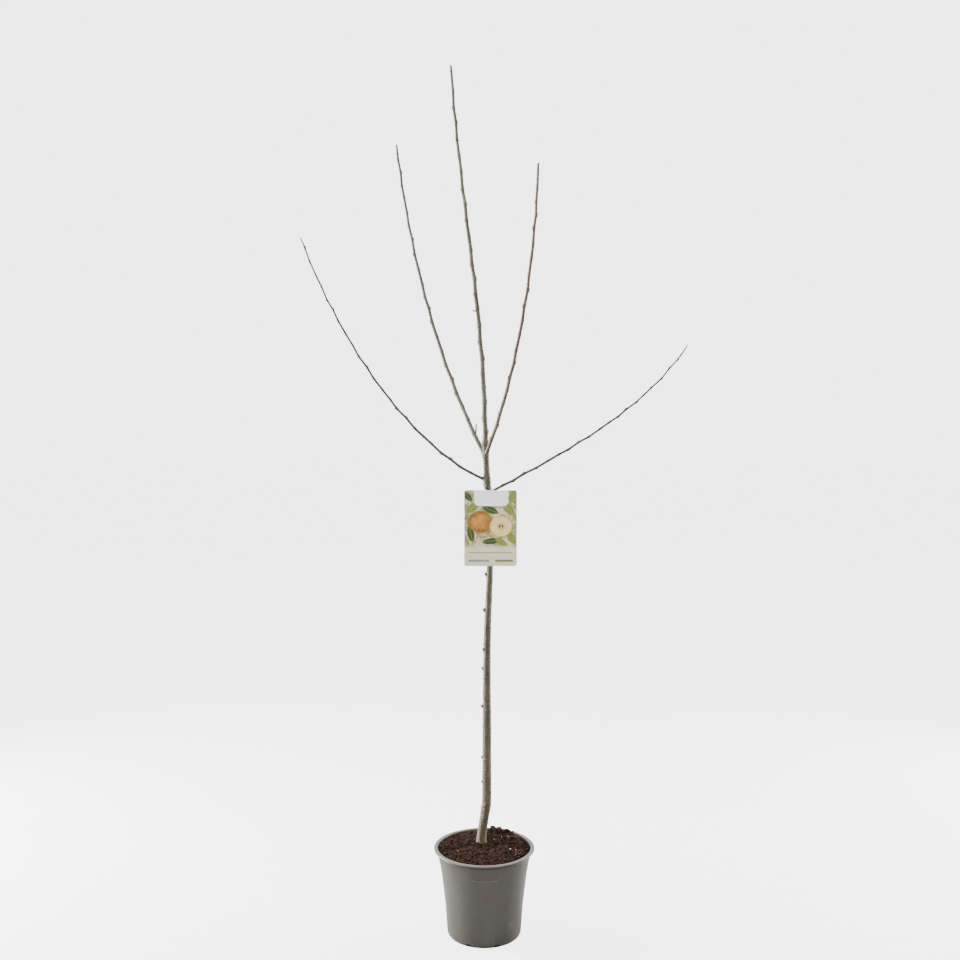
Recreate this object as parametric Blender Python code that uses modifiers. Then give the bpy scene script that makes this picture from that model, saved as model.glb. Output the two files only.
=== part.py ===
"""A two-year apple tree in its nursery pot, bare of leaves, with a picture label on its trunk.

Metres, +Z up. The origin is the centre of the pot's underside, and the front is -Y.
Headings are degrees seen from above: 0 is to the right (+X) and 90 is to the back (+Y).
"""

import math
import random
from typing import NamedTuple

import bmesh
import bpy
from mathutils import Matrix, Vector

GAP = 0.0003  # touching pieces stay this far apart

# Pot: outer radii down its wall, and the heights where the wall changes slope
POT_HEIGHT = 0.193
RIM_RADIUS = 0.110
RIM_WIDTH = 0.0085
RIM_THICKNESS = 0.003
COLLAR_RADIUS = 0.1030
SHOULDER_RADIUS, SHOULDER_HEIGHT = 0.0935, 0.138
WAIST_RADIUS, WAIST_HEIGHT = 0.0855, 0.070
ANKLE_RADIUS, ANKLE_HEIGHT = 0.0812, 0.0095
FOOT_RADIUS = 0.0750
WALL = 0.0016
POT_STEPS = 56
SLOT_COUNT = 8
SLOT_WIDTH, SLOT_LOW, SLOT_HIGH = 0.012, 0.0026, 0.0066
FIRST_SLOT_HEADING = -70.0

# Compost: a flat middle where the trunk stands, lower at the wall, with bark chunks on top
GROUND = 0.1902
COMPOST_EDGE = 0.1868
FLAT_RADIUS = 0.050
CHUNK_COUNT = 40
COMPOST_STEPS = 40
CHUNK_SIZES = (0.0050, 0.0105)
MOUND_COUNT = 9
MOUND_SIZES = (0.0100, 0.0150)
MOUND_HEADING = 68.0

# Trunk: where it stands, where it forks, its diameters and its three bends
TRUNK_FOOT = Vector((-0.0059, 0.0260))
FORK_HEIGHT = 1.0764
TRUNK_LEAN_FORWARD = 0.012
FOOT_DIAMETER, FORK_DIAMETER = 0.0195, 0.0126
TAPER_FROM, TAPER_TO = 0.10, 0.80
FLARE, FLARE_HEIGHT = 0.003, 0.012
GRAFT_KICK, GRAFT_TOP = 0.0118, 0.110
BELLY, BELLY_HEIGHT, BELLY_SPREAD = 0.0062, 0.620, 0.110
HEAD_LEAN, HEAD_FROM, HEAD_TO = 0.0042, 0.790, 0.900
TRUNK_RING_STEP = 0.020
TRUNK_OVERRUN = 0.008  # the swept trunk runs this far past both of its cuts
TRUNK_SIDES = 12
CLOSEST_RINGS = 0.003

# Buds sit in a spiral, each on the outside of a small bend in the shoot
SPIRAL_STEP = 144.0
BUD_LENGTH, BUD_WIDTH = 0.0062, 0.0033
BUD_TILT = 24.0
NODE_SWELL = 1.14
WALK_STEP = 0.001
TRUNK_BUD_FIRST, TRUNK_BUD_STEP, TRUNK_BUD_COUNT = 0.045, 0.0365, 20
TRUNK_BUD_START = 30.0
BUD_CLEARANCE = 0.012  # trunk buds keep this far from spurs and boughs

# Label and the strap that holds it to the trunk
LABEL_WIDTH, LABEL_HEIGHT, LABEL_THICKNESS = 0.1130, 0.1640, 0.0008
LABEL_CORNER = 0.0045
LABEL_TOP = 0.9752
LABEL_CENTRE = 0.0134
HOLE_RADIUS, HOLE_DROP = 0.0016, 0.0034
STRAP_HEIGHT, STRAP_THICKNESS = 0.0036, 0.0007
STRAP_CENTRE, STRAP_DIP, STRAP_LOW_HEADING = 0.9802, 0.0083, -65.0
PIN_RADIUS = 0.0012


class Swelling(NamedTuple):
    """A thicker place on the trunk: height above the ground, extra diameter and spread."""

    height: float
    extra: float
    spread: float


class Spur(NamedTuple):
    """A short side twig: distance along its limb, heading, rise, length and diameter."""

    along: float
    heading: float
    rise: float
    length: float
    diameter: float


class Limb(NamedTuple):
    """A shoot that rises from the trunk, from a height on the trunk's centreline."""

    name: str
    base: float
    heading: float
    rise: tuple
    easing: float
    bow: float
    length: float
    diameter: tuple
    first_bud: float
    spacing: float
    spiral_start: float
    zigzag: float
    sides: int
    spurs: tuple


TRUNK_SWELLINGS = (
    Swelling(0.085, 0.0010, 0.022),
    Swelling(0.545, 0.0010, 0.006),
    Swelling(0.802, 0.0028, 0.020),
    Swelling(0.856, 0.0012, 0.007),
)

TRUNK_SPURS = (
    Spur(0.138, 182, 40, 0.0060, 0.0034),
    Spur(0.192, 176, 52, 0.0080, 0.0034),
    Spur(0.308, 188, 34, 0.0100, 0.0032),
    Spur(0.388, 170, 66, 0.0130, 0.0024),
    Spur(0.434, 200, 50, 0.0065, 0.0036),
    Spur(0.520, 184, 36, 0.0105, 0.0040),
    Spur(0.597, 178, 62, 0.0115, 0.0036),
)

LIMBS = (
    Limb("leader", 1.0700, 165, (90.0, 86.0), 1.0, -5.3, 0.809, (0.0104, 0.0046),
         0.030, 0.0335, 20, 0.0011, 8,
         (Spur(0.014, 170, 60, 0.0110, 0.0044), Spur(0.288, 186, 8, 0.0110, 0.0026))),
    Limb("bough_mid_left", 1.0484, 135, (51.0, 80.0), 0.73, 0.0, 0.766, (0.0086, 0.0042),
         0.060, 0.0330, 150, 0.0010, 8,
         (Spur(0.050, 60, 86, 0.0300, 0.0022),)),
    Limb("bough_right_upper", 1.0484, -58, (55.0, 87.5), 0.94, 0.0, 0.625, (0.0074, 0.0044),
         0.045, 0.0300, 200, 0.0009, 8, ()),
    Limb("bough_low_left", 0.9967, 190, (12.6, 69.5), 0.435, 0.0, 0.657, (0.0052, 0.0026),
         0.040, 0.0270, 90, 0.0010, 6, ()),
    Limb("bough_low_right", 0.9664, 12, (27.0, 55.5), 2.35, 0.0, 0.565, (0.0052, 0.0026),
         0.040, 0.0270, 240, 0.0010, 6, ()),
)

FINISHES = {
    "pot": ((0.200, 0.185, 0.165), 0.55),
    "compost": ((0.060, 0.032, 0.020), 0.95),
    "trunk": ((0.150, 0.125, 0.085), 0.70),
    "bough": ((0.130, 0.105, 0.075), 0.60),
    "label": ((0.560, 0.430, 0.250), 0.30),
    "strap": ((0.850, 0.850, 0.830), 0.45),
}


def ease(share):
    """0 to 1 with a soft start and a soft end."""
    share = min(max(share, 0.0), 1.0)
    return share * share * (3.0 - 2.0 * share)


def bell(distance, spread):
    return math.exp(-((distance / spread) ** 2))


def compass(heading, rise=0.0):
    """The unit vector at a heading and a rise above level, both in degrees."""
    turn, lift = math.radians(heading), math.radians(rise)
    return Vector((math.cos(lift) * math.cos(turn), math.cos(lift) * math.sin(turn), math.sin(lift)))


def side_of(direction, angle):
    """The unit vector square to a shoot's direction: 0 is its right side, 90 its back."""
    right = Vector((0.0, 1.0, 0.0)).cross(direction).normalized()
    back = direction.cross(right)
    turn = math.radians(angle)
    return right * math.cos(turn) + back * math.sin(turn)


def make_collection(name):
    collection = bpy.data.collections.new(name)
    bpy.context.scene.collection.children.link(collection)
    return collection


def make_finish(name, colour, roughness):
    material = bpy.data.materials.new(name)
    material.use_nodes = True
    shader = material.node_tree.nodes["Principled BSDF"]
    shader.inputs["Base Color"].default_value = (*colour, 1.0)
    shader.inputs["Roughness"].default_value = roughness
    shader.inputs["Metallic"].default_value = 0.0
    material.diffuse_color = (*colour, 1.0)
    return material


def put(name, mesh, collection, finish=None):
    """A new object at the origin that shows this mesh."""
    thing = bpy.data.objects.new(name, mesh)
    collection.objects.link(thing)
    if finish:
        mesh.materials.clear()
        mesh.materials.append(finish)
    return thing


def mesh_from(build):
    """A mesh made by a function that fills a bmesh."""
    shape = bmesh.new()
    build(shape)
    mesh = bpy.data.meshes.new("shape")
    shape.to_mesh(mesh)
    shape.free()
    return mesh


def solidified(thing):
    """The object's evaluated mesh with its modifiers applied and its loose caps welded."""
    bpy.context.view_layer.update()
    seen = thing.evaluated_get(bpy.context.evaluated_depsgraph_get())
    mesh = bpy.data.meshes.new_from_object(seen)
    mesh.transform(thing.matrix_world)
    shape = bmesh.new()
    shape.from_mesh(mesh)
    bmesh.ops.remove_doubles(shape, verts=shape.verts, dist=1e-6)
    shape.to_mesh(mesh)
    shape.free()
    bpy.data.objects.remove(thing)
    return mesh


def smooth(mesh, angle=40.0):
    mesh.shade_smooth()
    mesh.set_sharp_from_angle(angle=math.radians(angle))


def swept(points, radii, sides):
    """A round limb along the points, with its own radius at each of them."""
    curve = bpy.data.curves.new("course", "CURVE")
    curve.dimensions = "3D"
    curve.bevel_depth = 1.0
    curve.bevel_resolution = (sides - 4) // 2
    curve.use_fill_caps = True
    spline = curve.splines.new("POLY")
    spline.points.add(len(points) - 1)
    for slot, point, radius in zip(spline.points, points, radii):
        slot.co = (*point, 1.0)
        slot.radius = radius
    return solidified(put("course", curve, bpy.context.scene.collection))


def cut_level(mesh, height, keep_above):
    """Cuts the mesh at a height and closes the cut with one flat face."""
    shape = bmesh.new()
    shape.from_mesh(mesh)
    everything = shape.verts[:] + shape.edges[:] + shape.faces[:]
    cut = bmesh.ops.bisect_plane(
        shape, geom=everything, plane_co=(0.0, 0.0, height), plane_no=(0.0, 0.0, 1.0),
        clear_inner=keep_above, clear_outer=not keep_above)
    rim = [item for item in cut["geom_cut"] if isinstance(item, bmesh.types.BMEdge)]
    bmesh.ops.holes_fill(shape, edges=rim)
    bmesh.ops.recalc_face_normals(shape, faces=shape.faces)
    shape.to_mesh(mesh)
    shape.free()


def combined(base, operation, others):
    """The mesh after one Boolean with each mesh in the list."""
    helpers = make_collection("helpers")
    for other in others:
        put("helper", other, helpers)
    thing = put("base", base, bpy.context.scene.collection)
    modifier = thing.modifiers.new("Boolean", "BOOLEAN")
    modifier.operation = operation
    modifier.solver = "EXACT"
    modifier.operand_type = "COLLECTION"
    modifier.collection = helpers
    mesh = solidified(thing)
    for helper in list(helpers.objects):
        bpy.data.objects.remove(helper)
    bpy.data.collections.remove(helpers)
    return mesh


def trunk_centre(height):
    """The trunk's centreline: a kick above the graft, a belly, and a lean below the fork."""
    above = height - GROUND
    share = above / (FORK_HEIGHT - GROUND)
    kick = GRAFT_KICK * ease(above / GRAFT_TOP)
    belly = BELLY * bell(above - BELLY_HEIGHT, BELLY_SPREAD)
    lean = HEAD_LEAN * ease((above - HEAD_FROM) / (HEAD_TO - HEAD_FROM))
    forward = TRUNK_LEAN_FORWARD * min(max(share, 0.0), 1.0)
    return Vector((TRUNK_FOOT.x + kick + belly - lean, TRUNK_FOOT.y - forward, height))


def trunk_radius(height):
    above = height - GROUND
    share = above / (FORK_HEIGHT - GROUND)
    slimming = ease((share - TAPER_FROM) / (TAPER_TO - TAPER_FROM))
    diameter = FOOT_DIAMETER + (FORK_DIAMETER - FOOT_DIAMETER) * slimming
    diameter += FLARE * math.exp(-max(above, 0.0) / FLARE_HEIGHT)
    for place in TRUNK_SWELLINGS:
        diameter += place.extra * bell(above - place.height, place.spread)
    return diameter / 2.0


def trunk_tube(extra_radius=0.0):
    """The trunk as one swept mesh that runs a little past the ground and the fork."""
    low, high = GROUND - TRUNK_OVERRUN, FORK_HEIGHT + TRUNK_OVERRUN
    heights = {low, high, GROUND, GROUND + FLARE_HEIGHT / 2, FORK_HEIGHT}
    steps = int((high - low) / TRUNK_RING_STEP)
    heights.update(GROUND + TRUNK_RING_STEP * step for step in range(1, steps))
    heights.update(GROUND + place.height for place in TRUNK_SWELLINGS[1:])
    heights = sorted(heights)
    kept = [h for i, h in enumerate(heights) if i == 0 or h - heights[i - 1] > CLOSEST_RINGS]
    points = [trunk_centre(h) for h in kept]
    radii = [trunk_radius(h) + extra_radius for h in kept]
    return swept(points, radii, TRUNK_SIDES)


def tapered_twig(start, direction, length, diameter):
    """A short side twig: a cone with a blunt end and its root sunk in the limb."""
    sunk = diameter
    depth = length + sunk
    turn = Vector((0.0, 0.0, 1.0)).rotation_difference(direction).to_matrix().to_4x4()
    place = Matrix.Translation(start - direction * sunk) @ turn @ Matrix.Translation((0, 0, depth / 2))
    return mesh_from(lambda shape: bmesh.ops.create_cone(
        shape, cap_ends=True, segments=6, radius1=diameter * 0.62, radius2=diameter * 0.34,
        depth=depth, matrix=place))


def bud(point, radius, direction, angle, size=1.0):
    """A bud that lies close to the shoot, on the side at this angle."""
    out = side_of(direction, angle)
    tilt = math.radians(BUD_TILT)
    axis = (direction * math.cos(tilt) + out * math.sin(tilt)).normalized()
    length, width = BUD_LENGTH * size, BUD_WIDTH * size
    centre = point + out * (radius + width * 0.10) + axis * (length * 0.30)
    turn = Vector((0.0, 0.0, 1.0)).rotation_difference(axis).to_matrix().to_4x4()
    place = Matrix.Translation(centre) @ turn @ Matrix.Diagonal((width / 2, width / 2, length / 2, 1.0))
    return mesh_from(lambda shape: bmesh.ops.create_icosphere(
        shape, subdivisions=1, radius=1.0, matrix=place))


def build_trunk(finish, collection):
    """The trunk from its flat cut at the ground to the fork, with its old buds and spurs."""
    additions = []
    for spur in TRUNK_SPURS:
        height = GROUND + spur.along
        outward = compass(spur.heading)
        start = trunk_centre(height) + outward * (trunk_radius(height) - spur.diameter * 0.3)
        additions.append(tapered_twig(start, compass(spur.heading, spur.rise), spur.length, spur.diameter))
    taken = [spur.along for spur in TRUNK_SPURS]
    taken += [limb.base - GROUND for limb in LIMBS]
    behind_label = LABEL_TOP - GROUND - LABEL_HEIGHT - BUD_CLEARANCE
    for number in range(TRUNK_BUD_COUNT):
        above = TRUNK_BUD_FIRST + TRUNK_BUD_STEP * number
        angle = TRUNK_BUD_START + SPIRAL_STEP * number
        faces_label = above > behind_label and compass(angle).y < 0.2
        if faces_label or min(abs(above - other) for other in taken) < BUD_CLEARANCE:
            continue
        height = GROUND + above
        additions.append(bud(trunk_centre(height), trunk_radius(height), Vector((0, 0, 1)), angle, 0.85))
    mesh = combined(trunk_tube(), "UNION", additions)
    cut_level(mesh, GROUND + GAP, keep_above=True)
    cut_level(mesh, FORK_HEIGHT, keep_above=False)
    smooth(mesh)
    return put("trunk", mesh, collection, finish)


def walk(limb):
    """Points and directions every millimetre along the limb's smooth course."""
    point = trunk_centre(limb.base)
    steps = int(round(limb.length / WALK_STEP))
    course = []
    for step in range(steps + 1):
        share = step / steps
        rise = limb.rise[0] + (limb.rise[1] - limb.rise[0]) * share ** limb.easing
        rise += limb.bow * math.sin(math.pi * share)
        direction = compass(limb.heading, rise)
        course.append((point.copy(), direction))
        point = point + direction * WALK_STEP
    return course


def bud_places(limb):
    """(distance along, side angle) of each bud, with a little seeded unevenness."""
    chance = random.Random(limb.name)
    places, along, number = [], limb.first_bud, 0
    while along < limb.length - 0.6 * limb.spacing:
        places.append((along, limb.spiral_start + SPIRAL_STEP * number + chance.uniform(-12, 12)))
        along += limb.spacing * chance.uniform(0.82, 1.18)
        number += 1
    return places


def limb_radius(limb, along):
    share = along / limb.length
    return (limb.diameter[0] + (limb.diameter[1] - limb.diameter[0]) * share) / 2.0


def limb_point(limb, course, places, along):
    """A point of the zigzag course: each bud pushes its node a little to its own side."""
    point, direction = course[min(int(round(along / WALK_STEP)), len(course) - 1)]
    nodes = [(0.0, 0.0, 0.0)] + [(a, angle, limb.zigzag) for a, angle in places]
    nodes.append((limb.length, 0.0, 0.0))
    for (a0, angle0, push0), (a1, angle1, push1) in zip(nodes, nodes[1:]):
        if a0 <= along <= a1 + 1e-9:
            share = (along - a0) / (a1 - a0)
            offset = side_of(direction, angle0) * push0 * (1 - share)
            offset += side_of(direction, angle1) * push1 * share
            return point + offset, direction
    return point, direction


def build_limb(limb, finish, trunk_clearance, collection):
    """One tapering shoot with its buds and spurs. The leader stands on the fork's flat cut."""
    course, places = walk(limb), bud_places(limb)
    rings = {0.0: 1.0, limb.length: 0.92}
    for along, _ in places:
        rings[along] = NODE_SWELL
        rings[along + 0.30 * limb.spacing] = 1.0
    distances = sorted(rings)
    points = [limb_point(limb, course, places, d)[0] for d in distances]
    radii = [limb_radius(limb, d) * rings[d] for d in distances]
    additions = []
    for along, angle in places:
        point, direction = limb_point(limb, course, places, along)
        size = 0.62 + 0.38 * limb_radius(limb, along) / 0.0045
        additions.append(bud(point, limb_radius(limb, along), direction, angle, size))
    for spur in limb.spurs:
        start = limb_point(limb, course, places, spur.along)[0]
        additions.append(tapered_twig(start, compass(spur.heading, spur.rise), spur.length, spur.diameter))
    mesh = combined(swept(points, radii, limb.sides), "UNION", additions)
    if limb.name == "leader":
        cut_level(mesh, FORK_HEIGHT + GAP, keep_above=True)
    else:
        mesh = combined(mesh, "DIFFERENCE", [trunk_clearance.copy()])
    smooth(mesh)
    return put(limb.name, mesh, collection, finish)


def pot_outline(inset=0.0):
    """(radius, height) down the outside of the wall, or down its inside when inset."""
    return (
        (COLLAR_RADIUS - inset, POT_HEIGHT - RIM_THICKNESS),
        (SHOULDER_RADIUS - inset, SHOULDER_HEIGHT),
        (WAIST_RADIUS - inset, WAIST_HEIGHT),
        (ANKLE_RADIUS - inset, ANKLE_HEIGHT + inset * 0.5),
    )


def corner_arc(inset=0.0, steps=4):
    """The rounded corner between the wall and the flat underside."""
    wide, tall = ANKLE_RADIUS - FOOT_RADIUS, ANKLE_HEIGHT
    points = []
    for step in range(1, steps + 1):
        turn = math.radians(90.0 * step / steps)
        radius = FOOT_RADIUS + (wide - inset) * math.cos(turn)
        height = tall - (tall - inset) * math.sin(turn)
        points.append((radius, height))
    return tuple(points)


def turned(name, profile, steps, collection):
    """A closed shape turned round the Z axis from a profile that starts and ends on it."""
    mesh = bpy.data.meshes.new(name)
    points = [(radius, 0.0, height) for radius, height in profile]
    mesh.from_pydata(points, [(i, i + 1) for i in range(len(points) - 1)], [])
    thing = put(name, mesh, collection)
    screw = thing.modifiers.new("Screw", "SCREW")
    screw.steps = steps
    screw.render_steps = steps
    screw.use_merge_vertices = True
    screw.merge_threshold = 0.00005
    return thing


def build_pot(finish, collection, cutters):
    """The thin-walled pot: flat rim, flared collar, tapered wall and slots round its foot."""
    inside = tuple(reversed(pot_outline(WALL)))
    floor = ((0.0, WALL), *reversed(corner_arc(WALL)))
    rim_inner = RIM_RADIUS - RIM_WIDTH
    rim = (
        (rim_inner - 0.0002, POT_HEIGHT - 0.0008), (rim_inner + 0.0008, POT_HEIGHT),
        (RIM_RADIUS - 0.0010, POT_HEIGHT), (RIM_RADIUS, POT_HEIGHT - 0.0010),
        (RIM_RADIUS, POT_HEIGHT - RIM_THICKNESS), (RIM_RADIUS - 0.0012, POT_HEIGHT - RIM_THICKNESS),
        (RIM_RADIUS - 0.0020, POT_HEIGHT - 0.0018), (COLLAR_RADIUS + 0.0004, POT_HEIGHT - 0.0018),
    )
    profile = floor + inside + rim + pot_outline() + corner_arc() + ((0.0, 0.0),)
    pot = turned("pot", profile, POT_STEPS, collection)
    slots = []
    for number in range(SLOT_COUNT):
        heading = FIRST_SLOT_HEADING - 90.0 + 360.0 * number / SLOT_COUNT
        middle = compass(heading) * ANKLE_RADIUS
        middle.z = (SLOT_LOW + SLOT_HIGH) / 2.0
        place = Matrix.Translation(middle) @ Matrix.Rotation(math.radians(heading), 4, "Z")
        place = place @ Matrix.Diagonal((0.016, SLOT_WIDTH, SLOT_HIGH - SLOT_LOW, 1.0))
        slots.append(mesh_from(lambda shape: bmesh.ops.create_cube(shape, size=1.0, matrix=place)))
    cutter = put("slot_cutter", joined(slots), cutters)
    cutter.hide_render = True
    cutter.display_type = "WIRE"
    cut = pot.modifiers.new("Slots", "BOOLEAN")
    cut.operation = "DIFFERENCE"
    cut.solver = "EXACT"
    cut.object = cutter
    pot.data.materials.append(finish)
    return pot


def joined(meshes):
    """One mesh that holds all of these, kept apart."""
    shape = bmesh.new()
    for mesh in meshes:
        shape.from_mesh(mesh)
    whole = bpy.data.meshes.new("joined")
    shape.to_mesh(whole)
    shape.free()
    return whole


def chunk(chance, place, size, tilt):
    """A lump of bark: a squashed ball, turned at random."""
    turn = Matrix.Rotation(chance.uniform(0, math.tau), 4, "Z") @ Matrix.Rotation(tilt, 4, "X")
    squash = Matrix.Diagonal((size * chance.uniform(0.7, 1.0), size * chance.uniform(0.4, 0.7),
                              size * chance.uniform(0.28, 0.45), 1.0))
    return mesh_from(lambda shape: bmesh.ops.create_icosphere(
        shape, subdivisions=1, radius=1.0, matrix=Matrix.Translation(place) @ turn @ squash))


def build_compost(finish, collection):
    """The compost that fills the pot, with bark chunks and a small heap at the back right."""
    clear = WALL + GAP
    inner_top = COLLAR_RADIUS - clear - (COLLAR_RADIUS - SHOULDER_RADIUS) * (
        (POT_HEIGHT - RIM_THICKNESS - COMPOST_EDGE) / (POT_HEIGHT - RIM_THICKNESS - SHOULDER_HEIGHT))
    wall = pot_outline(clear)[1:]
    profile = ((0.0, GROUND), (FLAT_RADIUS, GROUND), (inner_top, COMPOST_EDGE), *wall,
               *corner_arc(clear), (0.0, clear))
    mesh = solidified(turned("compost", profile, COMPOST_STEPS, bpy.context.scene.collection))
    chance = random.Random("bark chunks")
    chunks = []
    while len(chunks) < CHUNK_COUNT + MOUND_COUNT:
        mound = len(chunks) >= CHUNK_COUNT
        size = chance.uniform(*(MOUND_SIZES if mound else CHUNK_SIZES))
        reach = inner_top - size - 0.002
        if mound:
            spot = compass(MOUND_HEADING + chance.uniform(-26, 26)) * (reach * chance.uniform(0.82, 1.0))
        else:
            spot = compass(chance.uniform(0, 360)) * (reach * math.sqrt(chance.random()))
        if (spot.xy - TRUNK_FOOT).length < size + FOOT_DIAMETER / 2 + FLARE:
            continue
        fall = max(0.0, spot.length - FLAT_RADIUS) / (inner_top - FLAT_RADIUS)
        spot.z = GROUND - (GROUND - COMPOST_EDGE) * fall - 0.0006 + (0.25 * size if mound else 0.0)
        chunks.append(chunk(chance, spot, size, chance.uniform(-0.4, 0.4)))
    mesh = combined(mesh, "UNION", chunks)
    smooth(mesh)
    return put("compost", mesh, collection, finish)


def rounded_rectangle(width, height, corner, steps=5):
    """Points round a rectangle with its corners rounded, centred on the origin."""
    points = []
    for number, (x, y) in enumerate(((1, 1), (-1, 1), (-1, -1), (1, -1))):
        centre = Vector((x * (width / 2 - corner), y * (height / 2 - corner)))
        for step in range(steps + 1):
            turn = math.radians(90.0 * (number + step / steps))
            points.append(centre + Vector((math.cos(turn), math.sin(turn))) * corner)
    return points


def circle(centre, radius, steps):
    turns = (math.tau * step / steps for step in range(steps))
    return [centre + Vector((math.cos(turn), math.sin(turn))) * radius for turn in turns]


def label_back():
    """The depth of the label's back, just in front of the strap round the trunk."""
    axis = trunk_centre(STRAP_CENTRE)
    return axis.y - strap_radius() - STRAP_THICKNESS - GAP


def strap_radius():
    """The inside of the strap, clear of the widest trunk that it passes."""
    heights = [STRAP_CENTRE + STRAP_DIP * share for share in (-1.2, -0.6, 0.0, 0.6, 1.2)]
    axis = trunk_centre(STRAP_CENTRE)
    return max(trunk_radius(h) + (trunk_centre(h) - axis).xy.length for h in heights) + GAP


def hole_centre():
    """Where the pin goes through the label, as (x, z)."""
    return LABEL_CENTRE, LABEL_TOP - HOLE_DROP


def build_label(finish, collection):
    """The stiff picture card, with rounded corners and a punched hole near its top edge."""
    outline = rounded_rectangle(LABEL_WIDTH, LABEL_HEIGHT, LABEL_CORNER)
    hole = circle(Vector((0.0, LABEL_HEIGHT / 2 - HOLE_DROP)), HOLE_RADIUS, 16)
    curve = bpy.data.curves.new("label", "CURVE")
    curve.dimensions = "2D"
    curve.fill_mode = "BOTH"
    curve.extrude = LABEL_THICKNESS / 2
    for points in (outline, hole):
        spline = curve.splines.new("POLY")
        spline.points.add(len(points) - 1)
        spline.use_cyclic_u = True
        for slot, point in zip(spline.points, points):
            slot.co = (point.x, point.y, 0.0, 1.0)
    label = put("label", curve, collection, finish)
    label.rotation_euler = (math.radians(90), 0, 0)
    label.location = (LABEL_CENTRE, label_back() - LABEL_THICKNESS / 2, LABEL_TOP - LABEL_HEIGHT / 2)
    return label


def build_strap(finish, collection):
    """The strap round the trunk, dipped to the label's hole, with the pin that fills the hole."""
    axis = trunk_centre(STRAP_CENTRE)
    inner = strap_radius()
    outer = inner + STRAP_THICKNESS
    half = STRAP_HEIGHT / 2
    profile = ((inner, half), (outer, half), (outer, -half), (inner, -half), (inner, half))
    band = solidified(turned("strap_band", profile, 36, bpy.context.scene.collection))
    low = compass(STRAP_LOW_HEADING)
    for vertex in band.vertices:
        level = Vector((vertex.co.x, vertex.co.y, 0.0)).normalized()
        vertex.co.z -= STRAP_DIP * level.dot(low)
        vertex.co += Vector((axis.x, axis.y, STRAP_CENTRE))
    x, z = hole_centre()
    front = label_back() - LABEL_THICKNESS
    back = axis.y - math.sqrt((inner + STRAP_THICKNESS / 2) ** 2 - (x - axis.x) ** 2)
    place = Matrix.Translation((x, (front + back) / 2, z)) @ Matrix.Rotation(math.radians(90), 4, "X")
    pin = mesh_from(lambda shape: bmesh.ops.create_cone(
        shape, cap_ends=True, segments=12, radius1=PIN_RADIUS, radius2=PIN_RADIUS,
        depth=back - front, matrix=place))
    mesh = combined(band, "UNION", [pin])
    return put("label_strap", mesh, collection, finish)


def main():
    for thing in list(bpy.data.objects):
        bpy.data.objects.remove(thing)
    tree = make_collection("potted_apple_tree")
    cutters = make_collection("cutters")
    finish = {name: make_finish(name, *look) for name, look in FINISHES.items()}
    build_pot(finish["pot"], tree, cutters)
    build_compost(finish["compost"], tree)
    build_trunk(finish["trunk"], tree)
    trunk_clearance = trunk_tube(GAP)
    for limb in LIMBS:
        build_limb(limb, finish["bough"], trunk_clearance, tree)
    build_label(finish["label"], tree)
    build_strap(finish["strap"], tree)


main()
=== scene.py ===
# %% [markdown]
# A young apple tree in its nursery pot, in winter: bare shoots, small tight buds and a picture card on the
# trunk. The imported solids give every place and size. This script dresses them with bark, compost, moulded
# plastic and print, so each limb follows the same rule here as in the solids.

# %% Load the frame
import math
import random
from typing import NamedTuple

import bpy
import numpy as np
from mathutils import Matrix, Vector, noise


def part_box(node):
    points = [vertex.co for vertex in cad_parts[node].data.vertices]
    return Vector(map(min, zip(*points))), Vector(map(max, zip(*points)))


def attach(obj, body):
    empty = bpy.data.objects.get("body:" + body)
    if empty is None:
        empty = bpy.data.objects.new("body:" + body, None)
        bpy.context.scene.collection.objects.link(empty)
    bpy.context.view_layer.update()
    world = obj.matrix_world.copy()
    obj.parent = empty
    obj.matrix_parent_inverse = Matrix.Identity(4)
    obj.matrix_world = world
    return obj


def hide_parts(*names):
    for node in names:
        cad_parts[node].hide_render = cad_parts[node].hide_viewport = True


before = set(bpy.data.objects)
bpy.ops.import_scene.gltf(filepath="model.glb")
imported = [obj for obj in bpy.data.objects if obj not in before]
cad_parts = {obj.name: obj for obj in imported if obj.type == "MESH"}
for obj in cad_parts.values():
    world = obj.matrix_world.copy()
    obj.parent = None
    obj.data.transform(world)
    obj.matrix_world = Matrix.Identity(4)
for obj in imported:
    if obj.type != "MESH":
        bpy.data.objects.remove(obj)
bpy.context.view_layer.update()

print("solids:", ", ".join(sorted(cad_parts)))

# %% [markdown]
# Every piece starts with an empty selection, because an operator acts on all that is selected. A finished
# piece keeps its place in its mesh, so its object is left at the origin.

# %% Small helpers for pieces
FINISHED = []
WELD = 1e-6


def select_nothing():
    if bpy.context.object and bpy.context.object.mode != "OBJECT":
        bpy.ops.object.mode_set(mode="OBJECT")
    bpy.ops.object.select_all(action="DESELECT")


def pick(piece):
    """Makes a piece the only one selected, and the active one."""
    select_nothing()
    piece.select_set(True)
    bpy.context.view_layer.objects.active = piece


def into_scene(name, data):
    """A new object for a mesh, a lamp or a camera."""
    made = bpy.data.objects.new(name, data)
    bpy.context.scene.collection.objects.link(made)
    return made


def new_grid(name, columns, rows):
    """A flat grid of unit size, to be drawn to its shape."""
    select_nothing()
    bpy.ops.mesh.primitive_grid_add(x_subdivisions=columns, y_subdivisions=rows, size=1.0)
    piece = bpy.context.object
    piece.name = name
    return piece


def settle(piece):
    """Moves the object's place, turn and size into its mesh."""
    pick(piece)
    bpy.ops.object.transform_apply(location=True, rotation=True, scale=True)


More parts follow.
